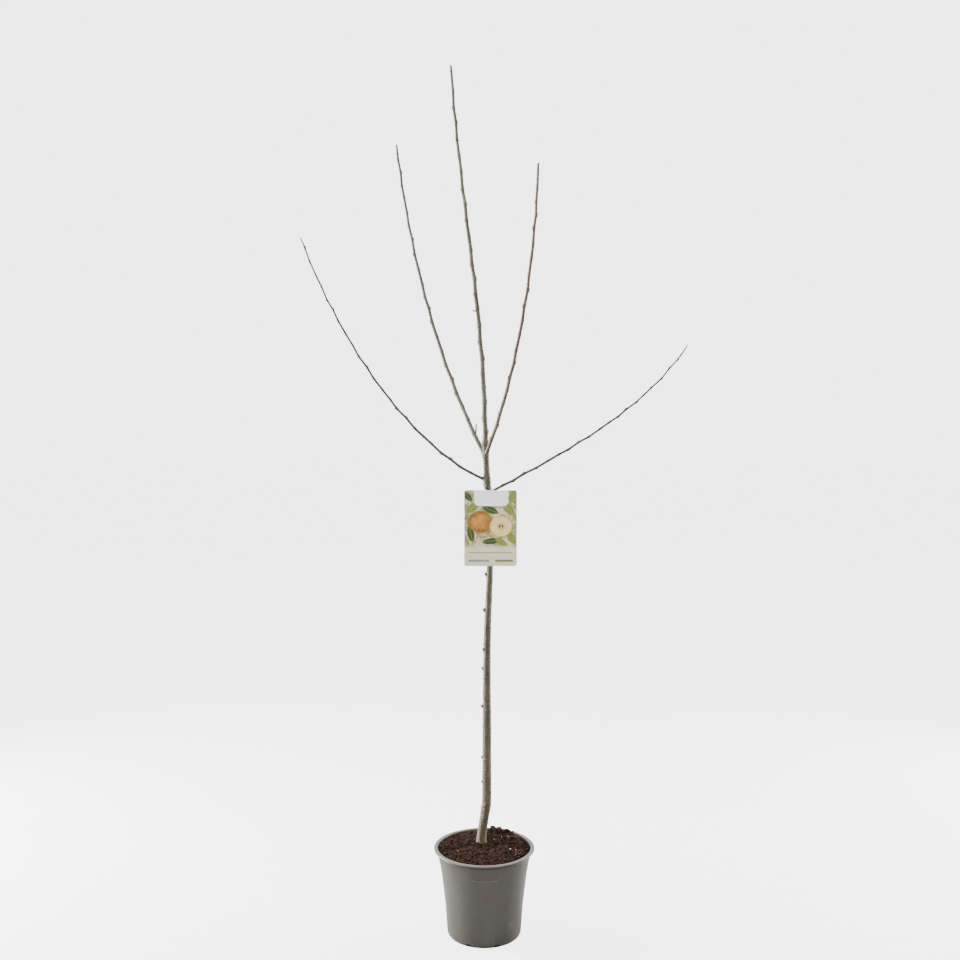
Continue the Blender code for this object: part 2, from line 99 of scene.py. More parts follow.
def tidy_shell(piece, close_ends=True):
    """Welds the seam, closes open ends and turns all faces outwards."""
    pick(piece)
    bpy.ops.object.mode_set(mode="EDIT")
    bpy.ops.mesh.select_all(action="SELECT")
    bpy.ops.mesh.remove_doubles(threshold=WELD)
    if close_ends:
        bpy.ops.mesh.fill_holes(sides=0)
    bpy.ops.mesh.select_all(action="SELECT")
    bpy.ops.mesh.normals_make_consistent(inside=False)
    bpy.ops.object.mode_set(mode="OBJECT")


def apply_modifier(piece, kind, **settings):
    """Adds one modifier with its settings and applies it at once."""
    pick(piece)
    modifier = piece.modifiers.new(kind.lower(), kind)
    for key, value in settings.items():
        setattr(modifier, key, value)
    bpy.ops.object.modifier_apply(modifier=modifier.name)


def cut_out(piece, cutter):
    """Takes a cutter's shape out of a piece and removes the cutter."""
    settle(cutter)
    apply_modifier(piece, "BOOLEAN", operation="DIFFERENCE", solver="EXACT", object=cutter)
    bpy.data.objects.remove(cutter)


def hand_over(piece, material, slot, *nodes, smooth=50.0):
    """Shades a finished piece, gives it its material and puts it on the frame."""
    pick(piece)
    bpy.ops.object.shade_smooth_by_angle(angle=math.radians(smooth))
    piece.data.materials.clear()
    piece.data.materials.append(material)
    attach(piece, "root")
    if nodes:
        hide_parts(*nodes)
    FINISHED.append(piece.name)
    print(f"{piece.name}: {len(piece.data.polygons)} faces")

# %% [markdown]
# A shader is wired from a few kinds of node over and over. These helpers keep each material readable:
# a value may be a number, a colour or another node's output. Colours are given as a painter reads them
# off a screen, 0 to 255, and turned into the linear light that the shader wants.

# %% Helpers for materials
def paint(red, green, blue):
    """A screen colour as linear light, with full alpha."""
    parts = [part / 255.0 for part in (red, green, blue)]
    linear = [p / 12.92 if p <= 0.04045 else ((p + 0.055) / 1.055) ** 2.4 for p in parts]
    return (*linear, 1.0)


def feed(tree, value, socket):
    """Links a node's output to a socket, or fills in a plain value."""
    if isinstance(value, bpy.types.NodeSocket):
        tree.links.new(value, socket)
    else:
        socket.default_value = value


def add(tree, kind, inputs=None, **settings):
    """A node with its settings, its inputs linked or filled in."""
    made = tree.nodes.new(kind)
    for key, value in settings.items():
        setattr(made, key, value)
    for key, value in (inputs or {}).items():
        feed(tree, value, made.inputs[key])
    return made


# %% Arithmetic in a shader
def sums(tree, operation, *values, clamp=False):
    slots = dict(enumerate(values))
    return add(tree, "ShaderNodeMath", slots, operation=operation, use_clamp=clamp).outputs[0]


def times(tree, first, second):
    return sums(tree, "MULTIPLY", first, second)


def plus(tree, first, second):
    return sums(tree, "ADD", first, second)


def minus(tree, first, second):
    return sums(tree, "SUBTRACT", first, second)


def hypotenuse(tree, wide, tall):
    return sums(tree, "SQRT", plus(tree, times(tree, wide, wide), times(tree, tall, tall)))


def ramped(tree, value, low, high, to_low=0.0, to_high=1.0):
    """A soft step between two values."""
    slots = {"Value": value, "From Min": low, "From Max": high, "To Min": to_low, "To Max": to_high}
    return add(tree, "ShaderNodeMapRange", slots, interpolation_type="SMOOTHSTEP").outputs[0]


# %% Mixing colours in a shader
def mixed(tree, share, first, second, blend="MIX"):
    slots = {0: share, 6: first, 7: second}
    return add(tree, "ShaderNodeMix", slots, data_type="RGBA", blend_type=blend).outputs[2]


def blended(tree, value, low, high, first, second, most=1.0):
    """The first colour where the value is low, and most of the second where it is high."""
    return mixed(tree, ramped(tree, value, low, high, 0.0, most), first, second)


def shaded(tree, colour, factor):
    """The colour times a brightness that varies over the surface."""
    grey = add(tree, "ShaderNodeCombineColor", {0: factor, 1: factor, 2: factor}).outputs[0]
    return mixed(tree, 1.0, colour, grey, "MULTIPLY")


# %% Places and patterns in a shader
def object_place(tree):
    return add(tree, "ShaderNodeTexCoord").outputs["Object"]


def parts_of(tree, place):
    """The X, Y and Z of a place."""
    return add(tree, "ShaderNodeSeparateXYZ", {0: place}).outputs


def stretched(tree, place, scale):
    return add(tree, "ShaderNodeMapping", {"Vector": place, "Scale": scale}).outputs[0]


def cloud(tree, place, scale, detail=3.0, roughness=0.55):
    """Soft noise. A scale of three numbers is one for each axis, and draws the noise out."""
    if isinstance(scale, tuple):
        place, scale = stretched(tree, place, scale), 1.0
    slots = {"Vector": place, "Scale": scale, "Detail": detail, "Roughness": roughness}
    return add(tree, "ShaderNodeTexNoise", slots).outputs[0]


def cells(tree, place, scale):
    """How far each point is from the nearest of many scattered spots."""
    return add(tree, "ShaderNodeTexVoronoi", {"Vector": place, "Scale": scale}).outputs["Distance"]


# %% Groups and materials
GREY = (0.2, 0.2, 0.2, 1.0)


def new_group(name, inputs, outputs):
    """A node group. Its inputs come with their defaults: None for a place, a tuple for a colour."""
    group = bpy.data.node_groups.new(name, "ShaderNodeTree")
    for label, default in inputs.items():
        kind = {float: "Float", tuple: "Color"}.get(type(default), "Vector")
        socket = group.interface.new_socket(label, in_out="INPUT", socket_type="NodeSocket" + kind)
        if default is not None:
            socket.default_value = default
    for label in outputs:
        kind = "Color" if label == "Colour" else "Float"
        group.interface.new_socket(label, in_out="OUTPUT", socket_type="NodeSocket" + kind)
    source = group.nodes.new("NodeGroupInput")
    sink = group.nodes.new("NodeGroupOutput")
    return group, source.outputs, sink.inputs


def give_out(tree, result, **values):
    """Links what a group has made to its outputs."""
    for key, value in values.items():
        tree.links.new(value, result[key])


def place_group(tree, group, **inputs):
    made = tree.nodes.new("ShaderNodeGroup")
    made.node_tree = group
    for key, value in inputs.items():
        feed(tree, value, made.inputs[key.replace("_", " ")])
    return made.outputs


def new_material(name, **constants):
    """A Principled material with the values that are the same all over."""
    material = bpy.data.materials.new(name)
    material.use_nodes = True
    tree = material.node_tree
    shader = tree.nodes["Principled BSDF"]
    for key, value in constants.items():
        shader.inputs[key.replace("_", " ")].default_value = value
    return material, tree, shader


def surface(tree, shader, colour, roughness, height, depth):
    """Links what changes over a surface: its colour, its roughness and its bumps."""
    bump = add(tree, "ShaderNodeBump", {"Height": height, "Distance": depth})
    tree.links.new(colour, shader.inputs["Base Color"])
    tree.links.new(roughness, shader.inputs["Roughness"])
    tree.links.new(bump.outputs[0], shader.inputs["Normal"])

# %% [markdown]
# The camera stands a little above the fork and looks slightly down. Behind the object is a bright backdrop
# and around the camera a darker room, so round things get bright edges and a dark middle. A long soft light
# on each side, one overhead and a weak one from the front add to that. The camera sees the backdrop and the
# floor brighter than the light they give, as film would burn them out, but not so bright that they eat the
# edges of the thin shoots.

# %% The camera
CAMERA_PLACE = (-0.0092, -2.4075, 1.1660)
CAMERA_DOWN = 4.0
FOCAL_PIXELS, FRAME_PIXELS, SENSOR = 1127.0, 960.0, 36.0

camera_data = bpy.data.cameras.new("camera")
camera_data.sensor_width = SENSOR
camera_data.lens = SENSOR * FOCAL_PIXELS / FRAME_PIXELS
camera = into_scene("camera", camera_data)
camera.location = CAMERA_PLACE
camera.rotation_euler = (math.radians(90.0 - CAMERA_DOWN), 0.0, 0.0)
bpy.context.scene.camera = camera
print("camera lens", round(camera_data.lens, 2), "mm")


# %% Soft lights
def soft_light(name, place, target, size, power):
    """A rectangle of light aimed at a point, which the camera itself doesn't see."""
    lamp = bpy.data.lights.new(name, "AREA")
    lamp.shape = "RECTANGLE"
    lamp.size, lamp.size_y = size
    lamp.energy = power
    light = into_scene(name, lamp)
    light.location = place
    light.rotation_mode = "QUATERNION"
    light.rotation_quaternion = (Vector(target) - Vector(place)).to_track_quat("-Z", "Y")
    light.visible_camera = False
    print(name, power, "W")


soft_light("left_softbox", (-2.1, 0.5, 0.8), (0, 0, 0.5), (0.9, 2.4), 360)
soft_light("right_softbox", (2.1, 0.9, 0.8), (0, 0, 0.5), (0.9, 2.4), 170)
soft_light("top_softbox", (-0.2, 0.1, 3.4), (0, 0, 0.6), (2.4, 2.4), 70)
soft_light("front_softbox", (-0.5, -2.6, 2.7), (0, 0, 0.8), (1.6, 1.2), 130)

# %% The backdrop and the floor
ROOM_LIGHT, BACKDROP_LIGHT = 0.16, 1.5
ROOM_TURNS, BACKDROP_STARTS = -0.35, 0.45
BACKDROP_SEEN, FLOOR_SEEN = 4.2, 3.85
FLOOR_SIZE = 40.0
WHITE = (1.0, 1.0, 1.0, 1.0)

world = bpy.data.worlds.new("white_studio")
world.use_nodes = True
tree = world.node_tree
aim = add(tree, "ShaderNodeTexCoord").outputs["Generated"]
behind = parts_of(tree, aim)["Y"]
glow = ramped(tree, behind, ROOM_TURNS, BACKDROP_STARTS, ROOM_LIGHT, BACKDROP_LIGHT)
seen = add(tree, "ShaderNodeLightPath").outputs["Is Camera Ray"]
unseen = times(tree, minus(tree, 1.0, seen), glow)
lit = plus(tree, times(tree, seen, BACKDROP_SEEN), unseen)
tree.links.new(lit, tree.nodes["Background"].inputs["Strength"])
tree.nodes["Background"].inputs["Color"].default_value = WHITE
bpy.context.scene.world = world

select_nothing()
bpy.ops.mesh.primitive_plane_add(size=FLOOR_SIZE)
floor = bpy.context.object
floor.name = "floor"
floor_paper, tree, shader = new_material("floor_paper", Roughness=0.85, Emission_Color=WHITE)
drift = cloud(tree, object_place(tree), 1.5)
colour = blended(tree, drift, 0.3, 0.7, paint(150, 150, 149), paint(156, 156, 156))
tree.links.new(colour, shader.inputs["Base Color"])
seen = add(tree, "ShaderNodeLightPath").outputs["Is Camera Ray"]
tree.links.new(times(tree, seen, FLOOR_SEEN), shader.inputs["Emission Strength"])
floor.data.materials.append(floor_paper)
print("floor", FLOOR_SIZE, "m square")

# %% [markdown]
# The tree is described by a few sizes. The trunk has a kick above the graft, a belly and a lean below the
# fork. Each shoot leaves the trunk at a height and a heading and lifts towards the light, and each bud
# pushes its node a little to its own side, which gives the slight zigzag of an apple shoot.

# %% The tree's own sizes
GROUND, FORK_HEIGHT = 0.1902, 1.0764
TRUNK_FOOT = Vector((-0.0059, 0.0260))
TRUNK_LEAN_FORWARD = 0.012
FOOT_DIAMETER, FORK_DIAMETER = 0.0195, 0.0126
TAPER_FROM, TAPER_TO = 0.10, 0.80
FLARE, FLARE_HEIGHT = 0.003, 0.012
GRAFT_KICK, GRAFT_TOP = 0.0118, 0.110
BELLY, BELLY_HEIGHT, BELLY_SPREAD = 0.0062, 0.620, 0.110
HEAD_LEAN, HEAD_FROM, HEAD_TO = 0.0042, 0.790, 0.900
# Height above the compost, extra thickness and spread: the graft, an old node, and two below the fork.
SWELLINGS = ((0.085, 0.0010, 0.022), (0.545, 0.0010, 0.006), (0.802, 0.0028, 0.020), (0.856, 0.0012, 0.007))
SPIRAL_STEP, SPIRAL_STRAY = 144.0, 12
SPACING_STRAY = (0.82, 1.18)
LAST_BUD = 0.6
WALK_STEP = 0.001
print("trunk", round(FORK_HEIGHT - GROUND, 3), "m from the compost to the fork")


# %% The shoots' sizes
class Limb(NamedTuple):
    """A shoot, from a height on the trunk's centreline: the solids' own sizes again."""

    name: str
    base: float
    heading: float
    rise: tuple
    easing: float
    bow: float
    length: float
    diameter: tuple
    first_bud: float
    spacing: float
    spiral_start: float
    zigzag: float
    sides: int


LIMBS = (
    Limb("leader", 1.0700, 165, (90.0, 86.0), 1.0, -5.3, 0.809, (0.0104, 0.0046),
         0.030, 0.0335, 20, 0.0011, 28),
    Limb("bough_mid_left", 1.0484, 135, (51.0, 80.0), 0.73, 0.0, 0.766, (0.0086, 0.0042),
         0.060, 0.0330, 150, 0.0010, 24),
    Limb("bough_right_upper", 1.0484, -58, (55.0, 87.5), 0.94, 0.0, 0.625, (0.0074, 0.0044),
         0.045, 0.0300, 200, 0.0009, 24),
    Limb("bough_low_left", 0.9967, 190, (12.6, 69.5), 0.435, 0.0, 0.657, (0.0052, 0.0026),
         0.040, 0.0270, 90, 0.0010, 18),
    Limb("bough_low_right", 0.9664, 12, (27.0, 55.5), 2.35, 0.0, 0.565, (0.0052, 0.0026),
         0.040, 0.0270, 240, 0.0010, 18),
)
print("shoots:", ", ".join(limb.name for limb in LIMBS))


# %% The course of the trunk and the shoots
def ease(share):
    share = min(max(share, 0.0), 1.0)
    return share * share * (3.0 - 2.0 * share)


def bell(distance, spread):
    return math.exp(-((distance / spread) ** 2))


def compass(heading, rise=0.0):
    """The unit vector at a heading (0 right, 90 back) and a rise above level, in degrees."""
    turn, lift = math.radians(heading), math.radians(rise)
    return Vector((math.cos(lift) * math.cos(turn), math.cos(lift) * math.sin(turn), math.sin(lift)))


def side_of(direction, angle):
    """The unit vector square to a shoot's direction: 0 is its right side, 90 its back."""
    right = Vector((0.0, 1.0, 0.0)).cross(direction).normalized()
    back = direction.cross(right)
    turn = math.radians(angle)
    return right * math.cos(turn) + back * math.sin(turn)


def trunk_centre(height):
    above = height - GROUND
    share = above / (FORK_HEIGHT - GROUND)
    kick = GRAFT_KICK * ease(above / GRAFT_TOP)
    belly = BELLY * bell(above - BELLY_HEIGHT, BELLY_SPREAD)
    lean = HEAD_LEAN * ease((above - HEAD_FROM) / (HEAD_TO - HEAD_FROM))
    forward = TRUNK_LEAN_FORWARD * min(max(share, 0.0), 1.0)
    return Vector((TRUNK_FOOT.x + kick + belly - lean, TRUNK_FOOT.y - forward, height))


def trunk_radius(height):
    above = height - GROUND
    share = above / (FORK_HEIGHT - GROUND)
    slimming = ease((share - TAPER_FROM) / (TAPER_TO - TAPER_FROM))
    diameter = FOOT_DIAMETER + (FORK_DIAMETER - FOOT_DIAMETER) * slimming
    diameter += FLARE * math.exp(-max(above, 0.0) / FLARE_HEIGHT)
    for place, extra, spread in SWELLINGS:
        diameter += extra * bell(above - place, spread)
    return diameter / 2.0


def walk(limb):
    """Points and directions every millimetre along the limb's smooth course."""
    point = trunk_centre(limb.base)
    steps = int(round(limb.length / WALK_STEP))
    course = []
    for step in range(steps + 1):
        share = step / steps
        rise = limb.rise[0] + (limb.rise[1] - limb.rise[0]) * share ** limb.easing
        rise += limb.bow * math.sin(math.pi * share)
        direction = compass(limb.heading, rise)
        course.append((point.copy(), direction))
        point = point + direction * WALK_STEP
    return course


def bud_places(limb):
    """The distance along and the side angle of each bud, a little uneven."""
    chance = random.Random(limb.name)
    places, along, number = [], limb.first_bud, 0
    while along < limb.length - LAST_BUD * limb.spacing:
        stray = chance.uniform(-SPIRAL_STRAY, SPIRAL_STRAY)
        places.append((along, limb.spiral_start + SPIRAL_STEP * number + stray))
        along += limb.spacing * chance.uniform(*SPACING_STRAY)
        number += 1
    return places


def limb_radius(limb, along):
    share = along / limb.length
    return (limb.diameter[0] + (limb.diameter[1] - limb.diameter[0]) * share) / 2.0


def limb_point(limb, course, places, along):
    """A point of the zigzag course, and the direction there."""
    point, direction = course[min(int(round(along / WALK_STEP)), len(course) - 1)]
    nodes = [(0.0, 0.0, 0.0)] + [(a, angle, limb.zigzag) for a, angle in places]
    nodes.append((limb.length, 0.0, 0.0))
    for (a0, angle0, push0), (a1, angle1, push1) in zip(nodes, nodes[1:]):
        if a0 <= along <= a1:
            share = (along - a0) / (a1 - a0)
            offset = side_of(direction, angle0) * push0 * (1 - share)
            offset += side_of(direction, angle1) * push1 * share
            return point + offset, direction
    return point, direction


for limb in LIMBS:
    print(limb.name, "has", len(bud_places(limb)), "buds")

# %% [markdown]
# Young apple bark is thin and smooth: olive and brown, with a silvery skin that the sun side shows most,
# and small pale corky spots, the lenticels, which lie a little across the stem. The pattern has to run
# along each limb however it bends, so every limb carries its straightened self as an attribute, and the
# group reads that in place of the object's own coordinates.

# %% Bark as a node group
bark_group, given, result = new_group(
    "living_bark",
    {"Place": None, "Main": GREY, "Second": GREY, "Skin": GREY, "Spot Spacing": 0.006, "Skin Share": 0.4},
    ("Colour", "Roughness", "Height"))
tree = bark_group
patches = ramped(tree, cloud(tree, given["Place"], (70.0, 70.0, 12.0), 4.0), 0.42, 0.60)
streaks = cloud(tree, given["Place"], (900.0, 900.0, 90.0), 3.0, 0.6)
skin = ramped(tree, cloud(tree, given["Place"], (110.0, 110.0, 30.0), 5.0, 0.65), 0.45, 0.68)
spot_place = stretched(tree, given["Place"], (1.0, 1.0, 0.8))
spot_scale = sums(tree, "DIVIDE", 1.0, given["Spot Spacing"])
speck_scale = times(tree, spot_scale, 2.3)
spots = ramped(tree, cells(tree, spot_place, spot_scale), 0.24, 0.13)
specks = ramped(tree, cells(tree, spot_place, speck_scale), 0.20, 0.10)
colour = mixed(tree, patches, given["Main"], given["Second"])
colour = mixed(tree, times(tree, skin, given["Skin Share"]), colour, given["Skin"])
colour = shaded(tree, colour, ramped(tree, streaks, 0.25, 0.75, 0.76, 1.20))
colour = mixed(tree, times(tree, spots, 0.50), colour, given["Skin"])
colour = mixed(tree, times(tree, specks, 0.22), colour, given["Skin"])
height = plus(tree, times(tree, streaks, 0.8), times(tree, spots, 0.9))
height = plus(tree, height, times(tree, specks, 0.4))
roughness = ramped(tree, streaks, 0.3, 0.7, 0.62, 0.46)
give_out(tree, result, Colour=colour, Height=height, Roughness=roughness)
print(bark_group.name, "has", len(bark_group.nodes), "nodes")

# %% A bark for each limb
ZONE_EDGE, ZONE_WANDER = 0.25, 0.014


def bark_material(name, main, second, skin, spacing, share, depth, zones=()):
    """A limb's bark; each zone is (low, high, paint, strength) and tints a stretch of the limb."""
    material, tree, shader = new_material(name + "_bark", Specular_IOR_Level=0.35)
    place = add(tree, "ShaderNodeAttribute", attribute_name="straight").outputs["Vector"]
    out = place_group(tree, bark_group, Place=place, Main=paint(*main), Second=paint(*second),
                      Skin=paint(*skin), Spot_Spacing=spacing, Skin_Share=share)
    colour = out["Colour"]
    wander = cloud(tree, place, (60.0, 60.0, 30.0))
    wander = ramped(tree, wander, 0.2, 0.8, -ZONE_WANDER, ZONE_WANDER)
    along = plus(tree, parts_of(tree, place)["Z"], wander)
    for low, high, tint, strength in zones:
        soft = ZONE_EDGE * (high - low)
        above = ramped(tree, along, low, low + soft)
        below = ramped(tree, along, high, high - soft)
        inside = times(tree, above, below)
        colour = mixed(tree, times(tree, inside, strength), colour, paint(*tint))
    surface(tree, shader, colour, out["Roughness"], out["Height"], depth)
    return material


# From, to, paint and strength, by height above the trunk's lower end.
TRUNK_ZONES = (
    (-0.02, 0.060, (104, 92, 68), 0.35), (0.110, 0.225, (84, 62, 46), 0.50),
    (0.225, 0.335, (64, 66, 50), 0.55), (0.335, 0.380, (82, 58, 44), 0.45),
    (0.600, 0.900, (60, 62, 46), 0.50))
TRUNK_BARK = bark_material(
    "trunk", (76, 67, 49), (62, 60, 46), (124, 114, 90), 0.0085, 0.32, 0.0006, TRUNK_ZONES)
# The right upper shoot's paints are lighter than the others', a painted highlight for the light it catches
# at the front; the two low shoots' paints are darker.
# Each shoot's main, second and skin paint, the spacing of its spots, its share of skin and its relief.
SHOOT_LOOKS = {
    "leader": ("leader", (74, 71, 54), (65, 56, 43), (120, 113, 90), 0.0055, 0.26, 0.0003),
    "bough_mid_left": ("left_shoot", (70, 67, 52), (63, 50, 42), (114, 106, 86), 0.0050, 0.22, 0.0003),
    "bough_right_upper": ("right_shoot", (86, 76, 57), (78, 56, 46), (128, 116, 96), 0.0050, 0.26, 0.0003),
    "bough_low_left": ("low_left_shoot", (64, 61, 50), (58, 48, 41), (104, 98, 84), 0.0042, 0.18, 0.0002),
    "bough_low_right": ("low_right_shoot", (64, 58, 47), (60, 46, 39), (104, 95, 82), 0.0042, 0.18, 0.0002),
}
SHOOT_BARKS = {limb: bark_material(*look) for limb, look in SHOOT_LOOKS.items()}
print("bark materials:", 1 + len(SHOOT_BARKS))

# %% [markdown]
# A limb is a sheet of bark: a grid as fine as the relief needs, rolled round the limb's course, with its
# seam welded and its ends closed. The grid primitive gives the rows and columns, and each vertex then
# moves to its place by the limb's rule. That keeps the rings even, which a swept curve would not, and
# leaves room for nodes, scars, ribs and the callus of the graft in real geometry. The bark stands a few
# tenths of a millimetre proud of the solids.

# %% Rolling a sheet of bark
def roll_bark(name, sides, rings, length, ring_at, relief):
    """A limb whose ring_at(along) gives its centre, right, back and radius; relief adds to the radius."""
    piece = new_grid(name, sides, rings)
    mesh = piece.data
    straight = mesh.attributes.new("straight", "FLOAT_VECTOR", "POINT")
    courses = [ring_at(length * ring / rings) for ring in range(rings + 1)]
    for vertex in mesh.vertices:
        ring = int(round((vertex.co.y + 0.5) * rings))
        column = int(round((vertex.co.x + 0.5) * sides)) % sides
        turn = math.tau * column / sides
        along = length * ring / rings
        centre, right, back, radius = courses[ring]
        upright = Vector((math.cos(turn) * radius, math.sin(turn) * radius, along))
        reach = radius + relief(along, turn, upright)
        vertex.co = centre + (right * math.cos(turn) + back * math.sin(turn)) * reach
        straight.data[vertex.index].vector = upright
    tidy_shell(piece)
    return piece


def turn_gap(turn, angle):
    """How far apart two directions round a limb are, in radians."""
    gap = (turn - math.radians(angle)) % math.tau
    return min(gap, math.tau - gap)


def ribs(place, depth, across, along):
    """Ribs and dips of a depth, with so many to the metre across and along the stem."""
    return depth * noise.noise(Vector((place.x * across, place.y * across, place.z * along)))


# %% [markdown]
# The trunk shows its history. At its foot it flares into the roots. A hand above lies the graft, a knobbly
# swelling where the apple was set on its rootstock. Old bud scars ring it, short spurs stand out on its
# left, and it thickens below the fork where the boughs leave.

# %% The marks on the trunk
SUNK, TRUNK_BARK_PROUD = 0.005, 0.0004
END_ROUND, END_SHARE = 0.006, 0.72
FINE_RIBS, BROAD_RIBS, CALLUS_RIBS = (0.00022, 420, 45), (0.00040, 130, 16), (0.0011, 240, 170)
GRAFT_HEIGHT, GRAFT_SPREAD = 0.085, 0.020
ROOT_COUNT, ROOT_TURN, ROOT_PROUD = 4, 0.9, 0.0016
SCAR_FIRST, SCAR_STEP, SCAR_COUNT, SCAR_START = 0.045, 0.0365, 23, 30.0
SCAR_REACH, SCAR_WIDTH = 0.012, 0.55
SHELF_PROUD, SHELF_SPREAD = 0.0009, 0.0022
NOTCH_DEPTH, NOTCH_RISE, NOTCH_SPREAD = 0.0005, 0.0040, 0.0016
RING_PROUD, RING_DROP, RING_SPREAD = 0.00022, 0.001, 0.0012
BOUGH_REACH, BOUGH_WIDTH = 0.03, 0.8
BOUGH_PROUD, BOUGH_RISE, BOUGH_SPREAD = 0.0013, 0.002, 0.0075
scars = [(SCAR_FIRST + SCAR_STEP * n, SCAR_START + SPIRAL_STEP * n) for n in range(SCAR_COUNT)]


def scar_relief(rise, gap):
    """An old leaf's scar: a shelf with a notch above it, and a fine ring right round the trunk."""
    near = bell(gap, SCAR_WIDTH)
    shelf = SHELF_PROUD * near * bell(rise, SHELF_SPREAD)
    notch = NOTCH_DEPTH * near * bell(rise - NOTCH_RISE, NOTCH_SPREAD)
    return shelf - notch + RING_PROUD * bell(rise + RING_DROP, RING_SPREAD)


def trunk_relief(along, turn, place):
    above = along - SUNK
    grown = ribs(place, *FINE_RIBS) + ribs(place, *BROAD_RIBS)
    grown += ribs(place, *CALLUS_RIBS) * bell(above - GRAFT_HEIGHT, GRAFT_SPREAD)
    roots = 0.5 + 0.5 * math.cos(ROOT_COUNT * turn + ROOT_TURN)
    grown += ROOT_PROUD * roots * math.exp(-max(above, 0.0) / FLARE_HEIGHT)
    for scar, angle in scars:
        if abs(above - scar) < SCAR_REACH:
            grown += scar_relief(above - scar, turn_gap(turn, angle))
    for limb in LIMBS[1:]:
        rise = above + GROUND - limb.base
        if abs(rise) < BOUGH_REACH:
            near = bell(turn_gap(turn, limb.heading), BOUGH_WIDTH)
            grown += BOUGH_PROUD * near * bell(rise - BOUGH_RISE, BOUGH_SPREAD)
    return grown


print("scars on the trunk:", len(scars))

# %% The trunk
TRUNK_SIDES, TRUNK_RINGS = 44, 860


def trunk_ring(along):
    height = GROUND - SUNK + along
    closing = ease((FORK_HEIGHT - height) / END_ROUND)
    radius = (trunk_radius(height) + TRUNK_BARK_PROUD) * (END_SHARE + (1.0 - END_SHARE) * closing)
    return trunk_centre(height), Vector((1, 0, 0)), Vector((0, 1, 0)), radius


trunk_length = FORK_HEIGHT - GROUND + SUNK
trunk = roll_bark("trunk_wood", TRUNK_SIDES, TRUNK_RINGS, trunk_length, trunk_ring, trunk_relief)
hand_over(trunk, TRUNK_BARK, "trunk_bark", "trunk")

# %% [markdown]
# The shoots are one summer's growth. Each swells at its nodes, has a small shelf under every bud where
# a leaf stood, and ends in the blunt cut of the secateurs.

# %% The leader and the boughs
RINGS_PER_METRE = 1000
BARK_PROUD, TIP_TAPER = 0.00045, 0.020
NODE_SWELL, NODE_SPREAD = 0.14, 0.0045
COLLAR_SWELL, COLLAR_PLACE, COLLAR_SPREAD = 0.42, 0.004, 0.009
CUT_SHARE, CUT_ROUND = 0.86, 0.0012
SHOOT_FINE_RIBS, SHOOT_BROAD_RIBS = (0.00010, 700, 60), (0.00016, 260, 28)
BUD_REACH, BUD_SPAN = 0.012, 0.75
CUSHION_PROUD, CUSHION_DROP, CUSHION_SPREAD = 0.0008, 0.0016, 0.0019
LINE_PROUD, LINE_DROP, LINE_SPREAD = 0.00020, 0.0030, 0.0008
courses = {limb.name: (limb, walk(limb), bud_places(limb)) for limb in LIMBS}


def grow_shoot(limb, course, places):
    """One shoot rolled from its own sizes, with a thick collar where it leaves the trunk."""
    def ring_at(along):
        point, direction = limb_point(limb, course, places, along)
        to_tip = limb.length - along
        nearest = min(abs(along - spot) for spot, _ in places)
        radius = limb_radius(limb, along) + BARK_PROUD * ease(to_tip / TIP_TAPER)
        radius *= 1.0 + NODE_SWELL * bell(nearest, NODE_SPREAD)
        radius *= 1.0 + COLLAR_SWELL * bell(along - COLLAR_PLACE, COLLAR_SPREAD)
        radius *= CUT_SHARE + (1.0 - CUT_SHARE) * ease(to_tip / CUT_ROUND)
        return point, side_of(direction, 0), side_of(direction, 90), radius

    def relief(along, turn, place):
        grown = ribs(place, *SHOOT_FINE_RIBS) + ribs(place, *SHOOT_BROAD_RIBS)
        for spot, angle in places:
            if abs(along - spot) < BUD_REACH:
                near = bell(turn_gap(turn, angle), BUD_SPAN)
                grown += CUSHION_PROUD * near * bell(along - spot + CUSHION_DROP, CUSHION_SPREAD)
                grown += LINE_PROUD * bell(along - spot + LINE_DROP, LINE_SPREAD)
        return grown

    rings = int(limb.length * RINGS_PER_METRE)
    return roll_bark(limb.name + "_wood", limb.sides, rings, limb.length, ring_at, relief)


for limb, course, places in courses.values():
    shoot = grow_shoot(limb, course, places)
    hand_over(shoot, SHOOT_BARKS[limb.name], "shoot_bark", limb.name)

# %% [markdown]
# Winter buds are small, pointed and pressed to the shoot, wrapped in dark overlapping scales with a grey
# down. One bud is shaped from a sphere, and the rest are copies of it, joined into one mesh for each limb.

# %% Joining many copies
def master_arrays(piece):
    """A modelled piece's corners and faces, taken out of the scene."""
    mesh = piece.data
    corners = np.array([vertex.co for vertex in mesh.vertices])
    faces = [tuple(polygon.vertices) for polygon in mesh.polygons]
    bpy.data.objects.remove(piece)
    return corners, faces


def joined_copies(name, placings):
    """One mesh from (corners, faces, matrix, tone) placings; the tone is kept as an attribute."""
    points, faces, tones, start = [], [], [], 0
    for corners, master_faces, matrix, tone in placings:
        turned = corners @ np.array(matrix.to_3x3()).T + np.array(matrix.translation)
        points.append(turned)
        faces.extend(tuple(start + corner for corner in face) for face in master_faces)
        tones.append(np.full(len(corners), tone, dtype=np.float32))
        start += len(corners)
    mesh = bpy.data.meshes.new(name)
    mesh.from_pydata(np.vstack(points).tolist(), [], faces)
    mesh.attributes.new("tone", "FLOAT", "POINT").data.foreach_set("value", np.concatenate(tones))
    return into_scene(name, mesh)


def turned_to(place, axis, roll, size):
    """A matrix that puts a master at a place with its +Z along an axis."""
    turn = Vector((0, 0, 1)).rotation_difference(axis).to_matrix().to_4x4()
    return Matrix.Translation(place) @ turn @ Matrix.Rotation(roll, 4, "Z") @ Matrix.Diagonal((*size, 1.0))


